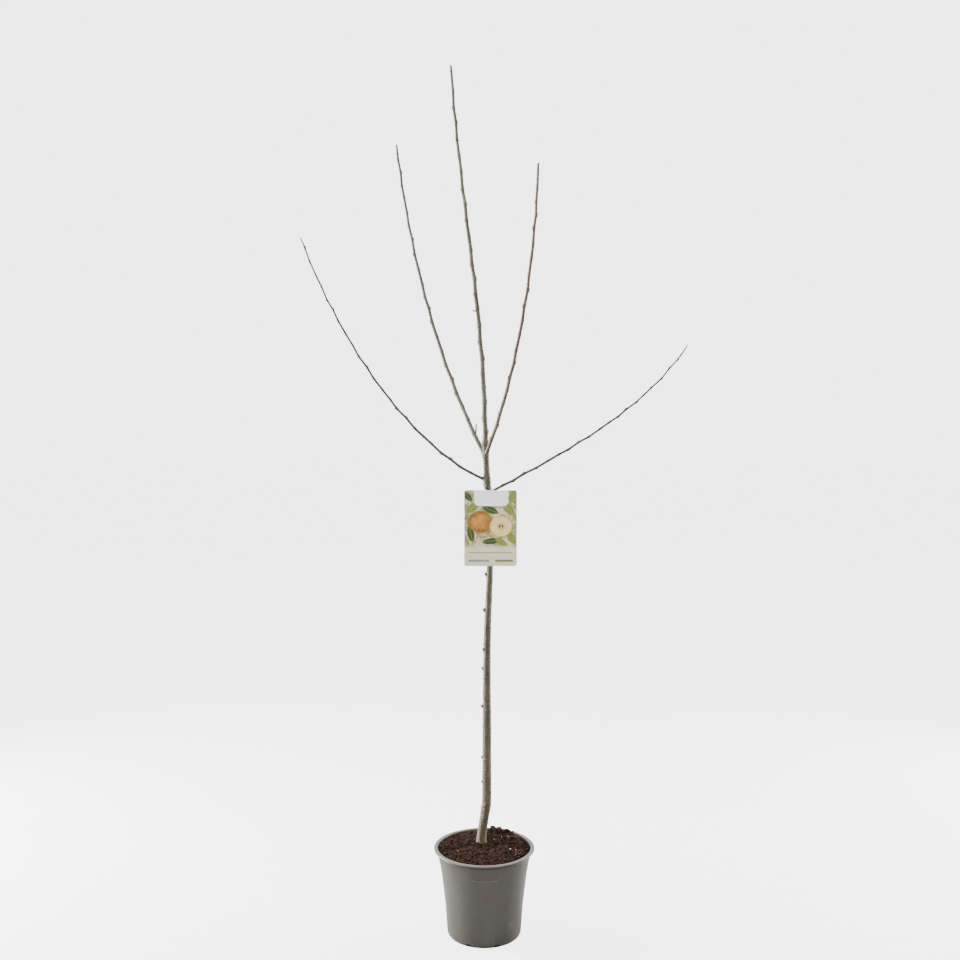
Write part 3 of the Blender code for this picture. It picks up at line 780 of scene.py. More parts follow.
# %% Modelling one bud
POINT_FROM, POINT_SHARE = 0.35, 0.55
SCALES, SCALE_EDGE, SCALE_TWIST = 3, 0.07, 9.0
PRESSED_SIDE = 0.80
select_nothing()
bpy.ops.mesh.primitive_uv_sphere_add(segments=14, ring_count=12, radius=0.5)
bud_shape = bpy.context.object
for vertex in bud_shape.data.vertices:
    x, y, z = vertex.co
    rise = z + 0.5
    point = 1.0 - POINT_SHARE * ease((rise - POINT_FROM) / (1.0 - POINT_FROM))
    scale_edge = 1.0 + SCALE_EDGE * math.cos(SCALES * math.atan2(y, x) + SCALE_TWIST * rise)
    flat = PRESSED_SIDE if y < 0 else 1.0
    vertex.co = Vector((x * point * scale_edge, y * point * scale_edge * flat, z))
BUD = master_arrays(bud_shape)
print("one bud:", len(BUD[1]), "faces")

# %% The buds' downy scales
bud_material, tree, shader = new_material("winter_bud", Specular_IOR_Level=0.3)
tone = add(tree, "ShaderNodeAttribute", attribute_name="tone").outputs["Fac"]
down = ramped(tree, cloud(tree, object_place(tree), 1400.0), 0.42, 0.66)
colour = mixed(tree, tone, paint(56, 38, 30), paint(74, 56, 42))
colour = mixed(tree, times(tree, down, 0.5), colour, paint(108, 96, 80))
surface(tree, shader, colour, ramped(tree, down, 0.0, 1.0, 0.5, 0.85), down, 0.0002)

# %% A bud at every node
BUD_LENGTH, BUD_WIDTH, BUD_TILT, TILT_STRAY = 0.0062, 0.0033, 20.0, (-6, 8)
BUD_OUT, BUD_UP = 0.06, 0.30
THIN_BUD, THICK_RADIUS = 0.62, 0.0045


def bud_placing(point, radius, direction, angle, size, chance):
    """Places a bud of this size against a stem of this radius, on the side at this angle."""
    out = side_of(direction, angle)
    tilt = math.radians(BUD_TILT + chance.uniform(*TILT_STRAY))
    axis = (direction * math.cos(tilt) + out * math.sin(tilt)).normalized()
    length, width = BUD_LENGTH * size, BUD_WIDTH * size
    centre = point + out * (radius + width * BUD_OUT) + axis * (length * BUD_UP)
    matrix = turned_to(centre, axis, chance.uniform(0, math.tau), (width, width, length))
    return (*BUD, matrix, chance.random())


for limb, course, places in courses.values():
    chance = random.Random(limb.name + " buds")
    placings = []
    for along, angle in places:
        point, direction = limb_point(limb, course, places, along)
        radius = limb_radius(limb, along)
        size = THIN_BUD + (1.0 - THIN_BUD) * radius / THICK_RADIUS
        placings.append(bud_placing(point, radius, direction, angle, size, chance))
    hand_over(joined_copies(limb.name + "_buds", placings), bud_material, "shoot_bark")

# %% [markdown]
# Spurs are short side twigs that carry one bud at their end. They are rolled like the shoots, only small.
# Most of the trunk's old nodes still have a bud too, but not those by a spur or under the card.

# %% Rolling a spur
SPUR_SIDES, SPUR_RINGS = 12, 28
SPUR_FOOT, SPUR_SLIMMING = 0.74, 0.16
RING_SWELL, RING_RATE = 0.07, 4200
SPUR_END, SPUR_ROUND = 0.45, 0.0012
SPUR_RIBS = (0.00018, 900, 200)


def roll_spur(start, direction, length, diameter):
    """A little tapering twig with rings of bud scale scars along it, sunk by its own thickness."""
    whole = length + diameter

    def ring_at(along):
        rings = 1.0 + RING_SWELL * math.sin(along * RING_RATE)
        radius = diameter * (SPUR_FOOT - SPUR_SLIMMING * along / whole) * rings
        radius *= SPUR_END + (1.0 - SPUR_END) * ease((whole - along) / SPUR_ROUND)
        centre = start + direction * (along - diameter)
        return centre, side_of(direction, 0), side_of(direction, 90), radius

    def relief(along, turn, place):
        return ribs(place, *SPUR_RIBS)

    return roll_bark("spur", SPUR_SIDES, SPUR_RINGS, whole, ring_at, relief)


# %% Spurs on the trunk and the shoots
# On the trunk: height above the compost, heading, rise, length and diameter.
TRUNK_SPURS = (
    (0.138, 182, 40, 0.0050, 0.0052), (0.192, 176, 48, 0.0060, 0.0052), (0.308, 188, 28, 0.0068, 0.0060),
    (0.388, 170, 60, 0.0090, 0.0036), (0.434, 200, 50, 0.0058, 0.0056), (0.520, 184, 44, 0.0080, 0.0066),
    (0.597, 178, 56, 0.0086, 0.0060))
# On a shoot: its name, the distance along it, and then the same.
SHOOT_SPURS = (
    ("leader", 0.014, 170, 60, 0.0110, 0.0044), ("leader", 0.288, 186, 8, 0.0110, 0.0026),
    ("bough_mid_left", 0.050, 60, 86, 0.0300, 0.0030))
SPUR_SET_IN, BUD_SET_IN = 0.3, 0.0008
SPUR_BUD = (0.0042, 0.0042, 0.0056)
BUDDED_SCARS, SCAR_BUD, SPUR_CLEAR = 18, 0.85, 0.010
CARD_FOOT, CARD_SIDE = 0.60, 0.2
UP = Vector((0, 0, 1))

spur_pieces, trunk_buds = [], []
chance = random.Random("spurs")
for above, heading, rise, length, diameter in TRUNK_SPURS:
    height = GROUND + above
    start = trunk_centre(height) + compass(heading) * (trunk_radius(height) - diameter * SPUR_SET_IN)
    direction = compass(heading, rise)
    spur_pieces.append(roll_spur(start, direction, length, diameter))
    matrix = turned_to(start + direction * (length - BUD_SET_IN), direction, 0.0, SPUR_BUD)
    trunk_buds.append((*BUD, matrix, chance.random()))
for name, along, heading, rise, length, diameter in SHOOT_SPURS:
    start = limb_point(*courses[name], along)[0]
    spur_pieces.append(roll_spur(start, compass(heading, rise), length, diameter))
for above, angle in scars[:BUDDED_SCARS]:
    height = GROUND + above
    faces_card = above > CARD_FOOT and compass(angle).y < CARD_SIDE
    by_spur = min(abs(above - row[0]) for row in TRUNK_SPURS) <= SPUR_CLEAR
    if not faces_card and not by_spur:
        middle, radius = trunk_centre(height), trunk_radius(height)
        trunk_buds.append(bud_placing(middle, radius, UP, angle, SCAR_BUD, chance))

pick(spur_pieces[0])
for piece in spur_pieces:
    piece.select_set(True)
bpy.ops.object.join()
spurs = bpy.context.object
spurs.name = "spurs"
hand_over(spurs, TRUNK_BARK, "trunk_bark")
hand_over(joined_copies("trunk_buds", trunk_buds), bud_material, "trunk_bark")

# %% [markdown]
# The pot is thin moulded plastic, and round, so it is turned: a circle is drawn out ring by ring from the
# middle of the floor, up the inside, over the wide flat lip and down the outside, with a bead below the lip
# and a rounded foot. A cutter then opens the drain slots round the foot.

# %% Turning a round piece
def turn_piece(name, profile, steps):
    """A circle extruded and resized from one (radius, height) of the profile to the next."""
    select_nothing()
    radius, height = profile[0]
    bpy.ops.mesh.primitive_circle_add(vertices=steps, radius=radius, location=(0, 0, height))
    piece = bpy.context.object
    piece.name = name
    settle(piece)
    bpy.ops.object.mode_set(mode="EDIT")
    bpy.ops.mesh.select_all(action="SELECT")
    for next_radius, next_height in profile[1:]:
        bpy.ops.mesh.extrude_region_move(TRANSFORM_OT_translate={"value": (0, 0, next_height - height)})
        share = next_radius / radius
        bpy.ops.transform.resize(value=(share, share, 1.0))
        radius, height = next_radius, next_height
    bpy.ops.object.mode_set(mode="OBJECT")
    tidy_shell(piece)
    return piece


# %% The pot's sizes
POT_HEIGHT, RIM_RADIUS, RIM_WIDTH, RIM_THICKNESS = 0.193, 0.110, 0.0085, 0.003
COLLAR_RADIUS, WALL = 0.1030, 0.0016
SHOULDER_RADIUS, SHOULDER_HEIGHT = 0.0935, 0.138
WAIST_RADIUS, WAIST_HEIGHT = 0.0855, 0.070
ANKLE_RADIUS, ANKLE_HEIGHT, FOOT_RADIUS = 0.0812, 0.0095, 0.0750
BEAD_HEIGHT, BEAD_PROUD, BEAD_SPREAD = 0.1836, 0.0006, 0.0009
UNDER_RIM = POT_HEIGHT - RIM_THICKNESS
WALL_HEIGHTS = (ANKLE_HEIGHT, WAIST_HEIGHT, SHOULDER_HEIGHT, UNDER_RIM)
WALL_RADII = (ANKLE_RADIUS, WAIST_RADIUS, SHOULDER_RADIUS, COLLAR_RADIUS)


def wall_radius(height):
    """The outside of the pot's wall at a height, with a faint bead below the lip."""
    wall = float(np.interp(height, WALL_HEIGHTS, WALL_RADII))
    return wall + BEAD_PROUD * bell(height - BEAD_HEIGHT, BEAD_SPREAD)


def foot_arc(inset, steps=7):
    """The rounded foot from the wall down to the floor, this far inside the outer face."""
    points = []
    for step in range(1, steps + 1):
        turn = math.radians(90.0 * step / steps)
        reach = (ANKLE_RADIUS - FOOT_RADIUS - inset) * math.cos(turn)
        points.append((FOOT_RADIUS + reach, ANKLE_HEIGHT - (ANKLE_HEIGHT - inset) * math.sin(turn)))
    return points


print("the wall leans out by", round(wall_radius(UNDER_RIM) - wall_radius(ANKLE_HEIGHT), 4), "m")

# %% The pot's wall and lip
POT_STEPS, POLE = 192, 0.0004
# The lip's corners: how far out from its inner edge or in from its outer edge, and how far down.
LIP_INNER = ((-0.0002, 0.0012), (0.0002, 0.0004), (0.0010, 0.0))
LIP_OUTER = ((0.0010, 0.0), (0.0003, 0.0003), (0.0, 0.0010), (0.0, RIM_THICKNESS),
             (0.0010, RIM_THICKNESS), (0.0016, 0.0018))
LIP_FILLET, LIP_SKIN = 0.0004, 0.0018
BEAD_STEP, BEAD_STEPS = 0.0005, 16
BEND, SOFT_BEND = 0.004, 0.003
OUTER_HEIGHTS = (0.178, 0.160, SHOULDER_HEIGHT + BEND, SHOULDER_HEIGHT - BEND, 0.115, 0.090,
                 WAIST_HEIGHT + SOFT_BEND, WAIST_HEIGHT - SOFT_BEND, 0.040, ANKLE_HEIGHT)

lip = [(RIM_RADIUS - RIM_WIDTH + out, POT_HEIGHT - down) for out, down in LIP_INNER]
lip += [(RIM_RADIUS - back, POT_HEIGHT - down) for back, down in LIP_OUTER]
lip.append((COLLAR_RADIUS + LIP_FILLET, POT_HEIGHT - LIP_SKIN))
outer_heights = [UNDER_RIM - BEAD_STEP * n for n in range(BEAD_STEPS)] + list(OUTER_HEIGHTS)
inside = [(POLE, WALL), *reversed(foot_arc(WALL))] + [(wall_radius(h) - WALL, h) for h in WALL_HEIGHTS]
outside = [(wall_radius(h), h) for h in outer_heights] + foot_arc(0.0) + [(POLE, 0.0)]
profile = inside + lip + outside
pot = turn_piece("pot_shell", profile, POT_STEPS)
print("turned from", len(profile), "rings")

# %% The drain slots
SLOT_COUNT, SLOT_WIDTH, SLOT_LOW, SLOT_HIGH, FIRST_SLOT = 8, 0.012, 0.0026, 0.0066, -160.0
SLOT_THROUGH = 0.016
for number in range(SLOT_COUNT):
    heading = FIRST_SLOT + 360.0 * number / SLOT_COUNT
    middle = compass(heading) * ANKLE_RADIUS
    middle.z = (SLOT_LOW + SLOT_HIGH) / 2
    select_nothing()
    bpy.ops.mesh.primitive_cube_add(size=1.0, location=middle, rotation=(0, 0, math.radians(heading)))
    cutter = bpy.context.object
    cutter.scale = (SLOT_THROUGH, SLOT_WIDTH, SLOT_HIGH - SLOT_LOW)
    cut_out(pot, cutter)
print(SLOT_COUNT, "slots cut")

# %% [markdown]
# The mould leaves a flat panel just under the lip, where a grower's sticker would go, with a thin ledge
# along its foot, and a small pad low down. Each is a grid laid on the wall, given a thickness and soft
# edges.

# %% Moulded panels
PANEL_COLUMNS, PANEL_ROWS, PANEL_BED, PANEL_SOFT = 36, 8, 0.0004, 0.0002
# Heading, lower and upper edge, half the width at each of them, and how far it stands proud.
PANELS = {
    "panel_high": (-90.0, 0.1560, 0.1840, 0.0275, 0.0350, 0.0005),
    "panel_low": (-48.0, 0.0350, 0.0500, 0.0085, 0.0085, 0.0004),
    "panel_ledge": (-90.0, 0.1546, 0.1560, 0.0275, 0.0278, 0.0006),
}


def wall_panel(name, heading, low, high, half_low, half_high, proud):
    piece = new_grid(name, PANEL_COLUMNS, PANEL_ROWS)
    for vertex in piece.data.vertices:
        share = vertex.co.y + 0.5
        height = low + (high - low) * share
        reach = wall_radius(height)
        offset = 2.0 * vertex.co.x * (half_low + (half_high - half_low) * share)
        spot = compass(heading + math.degrees(offset / reach)) * (reach + proud)
        vertex.co = Vector((spot.x, spot.y, height))
    apply_modifier(piece, "SOLIDIFY", thickness=proud + PANEL_BED, offset=-1.0)
    apply_modifier(piece, "BEVEL", width=PANEL_SOFT, segments=2, limit_method="ANGLE")
    tidy_shell(piece, close_ends=False)
    return piece


panels = {name: wall_panel(name, *sizes) for name, sizes in PANELS.items()}
print("panels:", len(panels))

# %% [markdown]
# Pot plastic is taupe, mixed from recycled stock, so its tone drifts a little. It is satin, with a fine
# grain, pale scuffs, and dust and splashes of compost near the lip and the foot. The lip's top is painted
# lighter, dust with a painted highlight from above, and the panels carry painted shade and painted
# highlights.

# %% The grain of moulded plastic
grain_group, given, result = new_group(
    "moulded_grain", {"Place": None, "Grain": 2500.0}, ("Tone", "Scuffs", "Height"))
tree = grain_group
tone = cloud(tree, given["Place"], (14.0, 14.0, 6.0))
grain = cloud(tree, given["Place"], given["Grain"], 2.0)
scuffs = ramped(tree, cloud(tree, given["Place"], (60.0, 60.0, 340.0), 5.0, 0.7), 0.62, 0.74)
give_out(tree, result, Tone=tone, Scuffs=scuffs, Height=plus(tree, grain, times(tree, tone, 1.5)))
print(grain_group.name, "has", len(grain_group.nodes), "nodes")

# %% The pot's plastic
STAIN_PLACE, STAIN_REACH, STAIN_CORE = (0.006, -0.088, 0.118), 0.030, 0.006
# The band where the lip's top is painted lighter: dust, with a painted highlight for the light from above.
LIP_DUST_AND_LIGHT_FROM, LIP_DUST_AND_LIGHT_TO = UNDER_RIM - 0.0004, POT_HEIGHT - 0.0008
# Painted light on the panels: the high panel is painted darker as painted shade, and the low pad and the
# ledge along the panel's foot are painted lighter as painted highlights.
PANEL_PAINTED_LIGHT = {"panel_high": 0.86, "panel_low": 1.3, "panel_ledge": 2.1}


def pot_plastic(name, shade):
    """The pot's plastic; the shade is painted light: below one it is painted shade on the flat panel, above
    one a painted highlight on the ledge and the pad.
    """
    material, tree, shader = new_material(name, Specular_IOR_Level=0.55)
    place = object_place(tree)
    height = parts_of(tree, place)["Z"]
    out = place_group(tree, grain_group, Place=place, Grain=1800.0)
    colour = blended(tree, out["Tone"], 0.35, 0.65, paint(57, 54, 46), paint(63, 59, 52))
    colour = blended(tree, cloud(tree, place, 22.0, 4.0), 0.55, 0.75, colour, paint(72, 54, 48), 0.35)
    from_stain = add(tree, "ShaderNodeVectorMath", {0: place, 1: STAIN_PLACE}, operation="DISTANCE")
    from_stain = from_stain.outputs["Value"]
    colour = blended(tree, from_stain, STAIN_REACH, STAIN_CORE, colour, paint(70, 50, 45), 0.5)
    # The top of the lip is painted lighter: dust, and a painted highlight for the light from above.
    colour = blended(tree, height, LIP_DUST_AND_LIGHT_FROM, LIP_DUST_AND_LIGHT_TO, colour, paint(104, 100, 89), 0.55)
    colour = mixed(tree, times(tree, out["Scuffs"], 0.22), colour, paint(112, 108, 98))
    splash = ramped(tree, cells(tree, stretched(tree, place, (1.0, 1.0, 0.8)), 120.0), 0.16, 0.08)
    near_lip = ramped(tree, height, 0.150, 0.186)
    near_foot = ramped(tree, height, 0.030, 0.004)
    dirt = times(tree, splash, sums(tree, "MAXIMUM", near_lip, near_foot))
    dirt = times(tree, dirt, ramped(tree, cloud(tree, place, 45.0), 0.50, 0.62))
    colour = mixed(tree, times(tree, dirt, 0.75), colour, paint(42, 31, 24))
    satin = ramped(tree, out["Tone"], 0.3, 0.7, 0.32, 0.40)
    roughness = plus(tree, satin, times(tree, dirt, 0.4))
    # The shade multiplies the colour: painted shade on the panel, painted highlights on the ledge and the
    # pad, and a shade of one on the wall.
    surface(tree, shader, shaded(tree, colour, shade), roughness, out["Height"], 0.00008)
    return material


hand_over(pot, pot_plastic("pot_plastic", 1.0), "pot_plastic", "pot", smooth=35.0)
# Each panel gets its own copy of the plastic, with painted shade or a painted highlight.
for name, panel in panels.items():
    hand_over(panel, pot_plastic(name + "_plastic", PANEL_PAINTED_LIGHT[name]), "pot_plastic", smooth=35.0)

# %% [markdown]
# Compost for container plants is mostly bark: dark reddish crumbs and flat chips, damp below and dry on
# top, with a few white grains of perlite. A turned bed carries the level, and thousands of crumbs and chips
# lie on it. Their masters are shaped once, then copied with their own size, turn and tone.

# %% The level of the compost
COMPOST_EDGE, FLAT_RADIUS, GAP = 0.1868, 0.050, 0.0003
MOUND_HEADING, MOUND_REACH, MOUND_RISE, MOUND_SPREAD = 66.0, 0.088, 0.0092, 0.030
HUMPS, LUMPS, TILT = (0.0013, 55, 0.3), (0.0006, 160, 2.0), 0.0012
clear = WALL + GAP
edge_reach = wall_radius(COMPOST_EDGE) - clear
mound_middle = compass(MOUND_HEADING).xy * MOUND_REACH


def unevenness(x, y, rise, across, layer):
    return rise * noise.noise(Vector((x * across, y * across, layer)))


def bed_height(x, y):
    """The compost's level: flat by the trunk, lower at the wall, with soft humps and a mound."""
    reach = math.hypot(x, y)
    fall = min(max(0.0, reach - FLAT_RADIUS) / (edge_reach - FLAT_RADIUS), 1.0)
    humps = unevenness(x, y, *HUMPS) + unevenness(x, y, *LUMPS)
    mound = MOUND_RISE * bell((Vector((x, y)) - mound_middle).length, MOUND_SPREAD)
    return GROUND - (GROUND - COMPOST_EDGE) * fall + humps - TILT * x / edge_reach + mound


print("level at the trunk", round(bed_height(0.0, 0.0), 4), "and at the wall", COMPOST_EDGE)

# %% The bed of compost
BED_STEPS, BED_RINGS = 144, 48
UNDER_CRUMBS, TOP_BAND = 0.0008, 0.0001
bed_profile = [(POLE, clear), *reversed(foot_arc(clear))]
bed_profile += [(wall_radius(h) - clear, h) for h in (WAIST_HEIGHT, SHOULDER_HEIGHT, COMPOST_EDGE)]
bed_profile += [(edge_reach * (1.0 - n / BED_RINGS), GROUND) for n in range(1, BED_RINGS)]
bed_profile += [(POLE, GROUND)]
bed = turn_piece("compost_bed", bed_profile, BED_STEPS)
for vertex in bed.data.vertices:
    if vertex.co.z > COMPOST_EDGE - TOP_BAND:
        vertex.co.z = bed_height(vertex.co.x, vertex.co.y) - UNDER_CRUMBS
print("bed turned from", len(bed_profile), "rings")


# %% Shaping crumbs and chips
LUMP_GRAIN, SEED_STEP, SQUARENESS = 1.7, 3.1, 0.45


def lump(seed, subdivisions, squash, rough):
    """A ball made squarer, broken up and squashed into a crumb or a chip."""
    select_nothing()
    bpy.ops.mesh.primitive_ico_sphere_add(subdivisions=subdivisions, radius=1.0)
    shape = bpy.context.object
    for vertex in shape.data.vertices:
        layer = Vector((seed * SEED_STEP, seed, 0.0))
        push = 1.0 + rough * noise.noise(vertex.co * LUMP_GRAIN + layer)
        square = 1.0 - SQUARENESS + SQUARENESS / max(abs(part) for part in vertex.co)
        moved = vertex.co * push * square
        vertex.co = Vector(part * share for part, share in zip(moved, squash))
    return master_arrays(shape)


CHIP_SQUASHES = ((1.0, 0.62, 0.30), (1.0, 0.45, 0.26), (0.85, 0.75, 0.40), (1.0, 0.35, 0.22))
CRUMB_SQUASHES = ((1.0, 0.8, 0.7), (1.0, 0.6, 0.5), (0.9, 0.9, 0.8))
CHIP_ROUGH, CRUMB_ROUGH, FIRST_CRUMB_SEED = 0.55, 0.6, 10
CHIPS = [lump(seed, 2, squash, CHIP_ROUGH) for seed, squash in enumerate(CHIP_SQUASHES)]
CRUMBS = [lump(seed, 1, squash, CRUMB_ROUGH)
          for seed, squash in enumerate(CRUMB_SQUASHES, FIRST_CRUMB_SEED)]
print("shapes:", len(CHIPS), "chips,", len(CRUMBS), "crumbs")


# %% Strewing crumbs, chips and perlite
def any_turn(chance, tilt, axes):
    """A turn all the way round, then a random tilt about each of the axes."""
    turn = Matrix.Rotation(chance.uniform(0, math.tau), 4, "Z")
    for axis in axes:
        turn = turn @ Matrix.Rotation(chance.gauss(0, tilt), 4, axis)
    return turn


LEAST_SHARE, MORE_SHARE = 0.7, 0.6
WALL_ROOM, WALL_CLEAR, TRUNK_ROOM = 0.9, 0.0005, 0.4


def scattered(name, masters, count, sizes, lift, tilt, seed):
    """Copies of the masters strewn over the bed, clear of the trunk and inside the wall."""
    chance = random.Random(seed)
    placings = []
    while len(placings) < count:
        size = chance.uniform(*sizes) * (LEAST_SHARE + MORE_SHARE * chance.random() ** 2)
        reach = edge_reach - size * WALL_ROOM - WALL_CLEAR
        spot = compass(chance.uniform(0, 360)) * (reach * math.sqrt(chance.random()))
        if (spot.xy - TRUNK_FOOT).length < FOOT_DIAMETER / 2 + size * TRUNK_ROOM:
            continue
        spot.z = bed_height(spot.x, spot.y) + lift * size
        matrix = Matrix.Translation(spot) @ any_turn(chance, tilt, "XY") @ Matrix.Scale(size, 4)
        corners, faces = chance.choice(masters)
        placings.append((corners, faces, matrix, chance.random()))
    return joined_copies(name, placings)


# Count, sizes, how far each is lifted for its size, and how much it tilts.
crumbs = scattered("compost_crumbs", CRUMBS, 6500, (0.0010, 0.0032), 0.30, 0.8, "crumbs")
chips = scattered("bark_chips", CHIPS, 950, (0.0026, 0.0068), 0.28, 0.45, "chips")
perlite = scattered("perlite", CRUMBS, 30, (0.0010, 0.0019), 0.75, 0.8, "perlite")
print("strewn faces:", sum(len(piece.data.polygons) for piece in (crumbs, chips, perlite)))

# %% [markdown]
# At the back right larger clods are heaped against the wall, as a trowel leaves them. They are the chips and
# crumbs again, only bigger.

# %% The heap at the back right
HEAP_HEADING, HEAP_SPREAD, HEAP_COUNT = 64.0, 15.6, 70
CLOD_SIZES, CLOD_REACH, CLOD_LIFT, CLOD_TILT = (0.0040, 0.0095), (0.84, 1.0), (0.2, 0.75), 0.5
chance = random.Random("heap")
placings = []
for number in range(HEAP_COUNT):
    heading = chance.gauss(HEAP_HEADING, HEAP_SPREAD)
    size = chance.uniform(*CLOD_SIZES)
    spot = compass(heading) * ((edge_reach - size) * chance.uniform(*CLOD_REACH))
    spot.z = bed_height(spot.x, spot.y) + size * chance.uniform(*CLOD_LIFT)
    matrix = Matrix.Translation(spot) @ any_turn(chance, CLOD_TILT, "X") @ Matrix.Scale(size, 4)
    placings.append((*chance.choice(CHIPS + CRUMBS), matrix, chance.random()))
heap = joined_copies("compost_heap", placings)
print("clods:", len(placings))

# %% [markdown]
# Damp bark compost is dark and hardly shines. Each loose piece has a tone of its own, a few are dry and
# lighter, and a fine and a coarse noise break up the rest. The bed, the crumbs and the chips share it as one
# group, so that they look like one stuff. Perlite is white and full of pores.

# %% Compost as a node group
compost_group, given, result = new_group(
    "bark_compost", {"Place": None, "Tone": 0.5, "Dry": GREY}, ("Colour", "Roughness", "Height"))
tree = compost_group
fine = cloud(tree, given["Place"], 900.0, 4.0, 0.65)
coarse = cloud(tree, given["Place"], 160.0, 4.0)
colour = blended(tree, given["Tone"], 0.1, 0.9, paint(25, 16, 11), paint(45, 29, 20))
colour = blended(tree, given["Tone"], 0.94, 0.99, colour, given["Dry"])
colour = blended(tree, coarse, 0.45, 0.7, colour, paint(43, 24, 18), 0.5)
colour = shaded(tree, colour, ramped(tree, fine, 0.25, 0.75, 0.62, 1.3))
roughness = ramped(tree, fine, 0.3, 0.7, 0.98, 0.78)
give_out(tree, result, Colour=colour, Roughness=roughness, Height=plus(tree, fine, coarse))
print(compost_group.name, "has", len(compost_group.nodes), "nodes")


# %% Compost materials
def compost_material(name, dry, depth, own_tones=True):
    """Bark compost; the loose pieces have tones of their own, and the bed has a drifting one."""
    material, tree, shader = new_material(name, Specular_IOR_Level=0.08)
    place = object_place(tree)
    if own_tones:
        tone = add(tree, "ShaderNodeAttribute", attribute_name="tone").outputs["Fac"]
    else:
        tone = ramped(tree, cloud(tree, place, 300.0), 0.3, 0.7, 0.0, 0.5)
    out = place_group(tree, compost_group, Place=place, Tone=tone, Dry=paint(*dry))
    surface(tree, shader, out["Colour"], out["Roughness"], out["Height"], depth)
    return material


crumb_material = compost_material("compost_crumb", (68, 47, 34), 0.0006)
chip_material = compost_material("bark_chip", (76, 53, 39), 0.0005)
bed_material = compost_material("compost_bed", (44, 30, 22), 0.0010, own_tones=False)
perlite_material, tree, shader = new_material("perlite", Specular_IOR_Level=0.4)
pores = ramped(tree, cells(tree, object_place(tree), 1800.0), 0.1, 0.5)
colour = mixed(tree, pores, paint(178, 170, 156), paint(216, 212, 202))
surface(tree, shader, colour, ramped(tree, pores, 0.0, 1.0, 0.9, 0.7), pores, 0.0003)

hand_over(bed, bed_material, "compost", "compost", smooth=60.0)
hand_over(crumbs, crumb_material, "compost", smooth=30.0)
hand_over(chips, chip_material, "compost", smooth=30.0)
hand_over(heap, chip_material, "compost", smooth=30.0)
hand_over(perlite, perlite_material, "compost", smooth=30.0)

# %% [markdown]
# The card is stiff printed plastic with rounded corners. It starts as a fine grid, its corners are drawn in
# to arcs, and it curls a little towards the front as such cards do. Solidify gives it its thickness and a
# cutter its punched hole. Its print is a design of its own: a halved fruit, a whole one and loose leaves.

# %% The card
LABEL_WIDTH, LABEL_HEIGHT, LABEL_THICKNESS, LABEL_CORNER = 0.1130, 0.1640, 0.0008, 0.0045
CARD_COLUMNS, CARD_ROWS, CURL = 84, 122, 0.0014
HOLE_RADIUS, HOLE_DROP, PUNCH_DEPTH = 0.0016, 0.0034, 0.01
label_low, label_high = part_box("label")
label_middle = (label_low + label_high) / 2
corner_x, corner_z = LABEL_WIDTH / 2 - LABEL_CORNER, LABEL_HEIGHT / 2 - LABEL_CORNER

card = new_grid("picture_card", CARD_COLUMNS, CARD_ROWS)
card.data.uv_layers[0].name = "print"
for vertex in card.data.vertices:
    x, z = vertex.co.x * LABEL_WIDTH, vertex.co.y * LABEL_HEIGHT
    beyond = Vector((abs(x) - corner_x, abs(z) - corner_z))
    if min(beyond) > 0 and beyond.length > LABEL_CORNER:
        drawn = beyond.normalized() * LABEL_CORNER
        x = math.copysign(corner_x + drawn.x, x)
        z = math.copysign(corner_z + drawn.y, z)
    curl = CURL * (2.0 * x / LABEL_WIDTH) ** 2
    vertex.co = Vector((label_middle.x + x, label_low.y - curl, label_middle.z + z))
tidy_shell(card, close_ends=False)
if card.data.polygons[0].normal.y > 0:
    card.data.flip_normals()
apply_modifier(card, "SOLIDIFY", thickness=LABEL_THICKNESS, offset=-1.0)

select_nothing()
hole_place = (label_middle.x, label_middle.y, label_high.z - HOLE_DROP)
bpy.ops.mesh.primitive_cylinder_add(vertices=32, radius=HOLE_RADIUS, depth=PUNCH_DEPTH,
                                    location=hole_place, rotation=(math.radians(90), 0, 0))
cut_out(card, bpy.context.object)
print("card", LABEL_WIDTH, "by", LABEL_HEIGHT, "m, with a hole at", round(hole_place[2], 4))

# %% [markdown]
# The print could be a picture file, but drawn in the shader it needs none and stays sharp from close by. Two
# groups draw what repeats: a disc for the fruits, and a leaf between two arcs. The rest is soft noise, plain
# bars and a white tab with round lower corners.

# %% A disc for the print
disc_group, given, result = new_group(
    "printed_disc", {"Place": None, "X": 0.0, "Y": 0.0, "Radius": 20.0}, ("Mask", "Share"))
tree = disc_group
parts = parts_of(tree, given["Place"])
wide = minus(tree, parts["X"], given["X"])
tall = times(tree, minus(tree, parts["Y"], given["Y"]), 1.08)
share = sums(tree, "DIVIDE", hypotenuse(tree, wide, tall), given["Radius"])
give_out(tree, result, Mask=ramped(tree, share, 1.0, 0.97), Share=share)
print(disc_group.name, "has", len(disc_group.nodes), "nodes")

# %% A leaf for the print
leaf_group, given, result = new_group(
    "printed_leaf", {"Place": None, "X": 0.0, "Y": 0.0, "Turn": 0.0, "Length": 20.0, "Width": 8.0},
    ("Mask", "Vein"))
tree = leaf_group
parts = parts_of(tree, given["Place"])
wide = minus(tree, parts["X"], given["X"])
tall = minus(tree, parts["Y"], given["Y"])
cosine = sums(tree, "COSINE", given["Turn"])
sine = sums(tree, "SINE", given["Turn"])
along = plus(tree, times(tree, wide, cosine), times(tree, tall, sine))
across = minus(tree, times(tree, tall, cosine), times(tree, wide, sine))
along = sums(tree, "DIVIDE", times(tree, along, 2.0), given["Length"])
across = sums(tree, "DIVIDE", times(tree, across, 2.0), given["Width"])
across = sums(tree, "ABSOLUTE", across)
half = sums(tree, "SUBTRACT", 1.0, times(tree, along, along), clamp=True)
mask = ramped(tree, minus(tree, half, across), 0.0, 0.12)
give_out(tree, result, Mask=mask, Vein=ramped(tree, across, 0.10, 0.02))
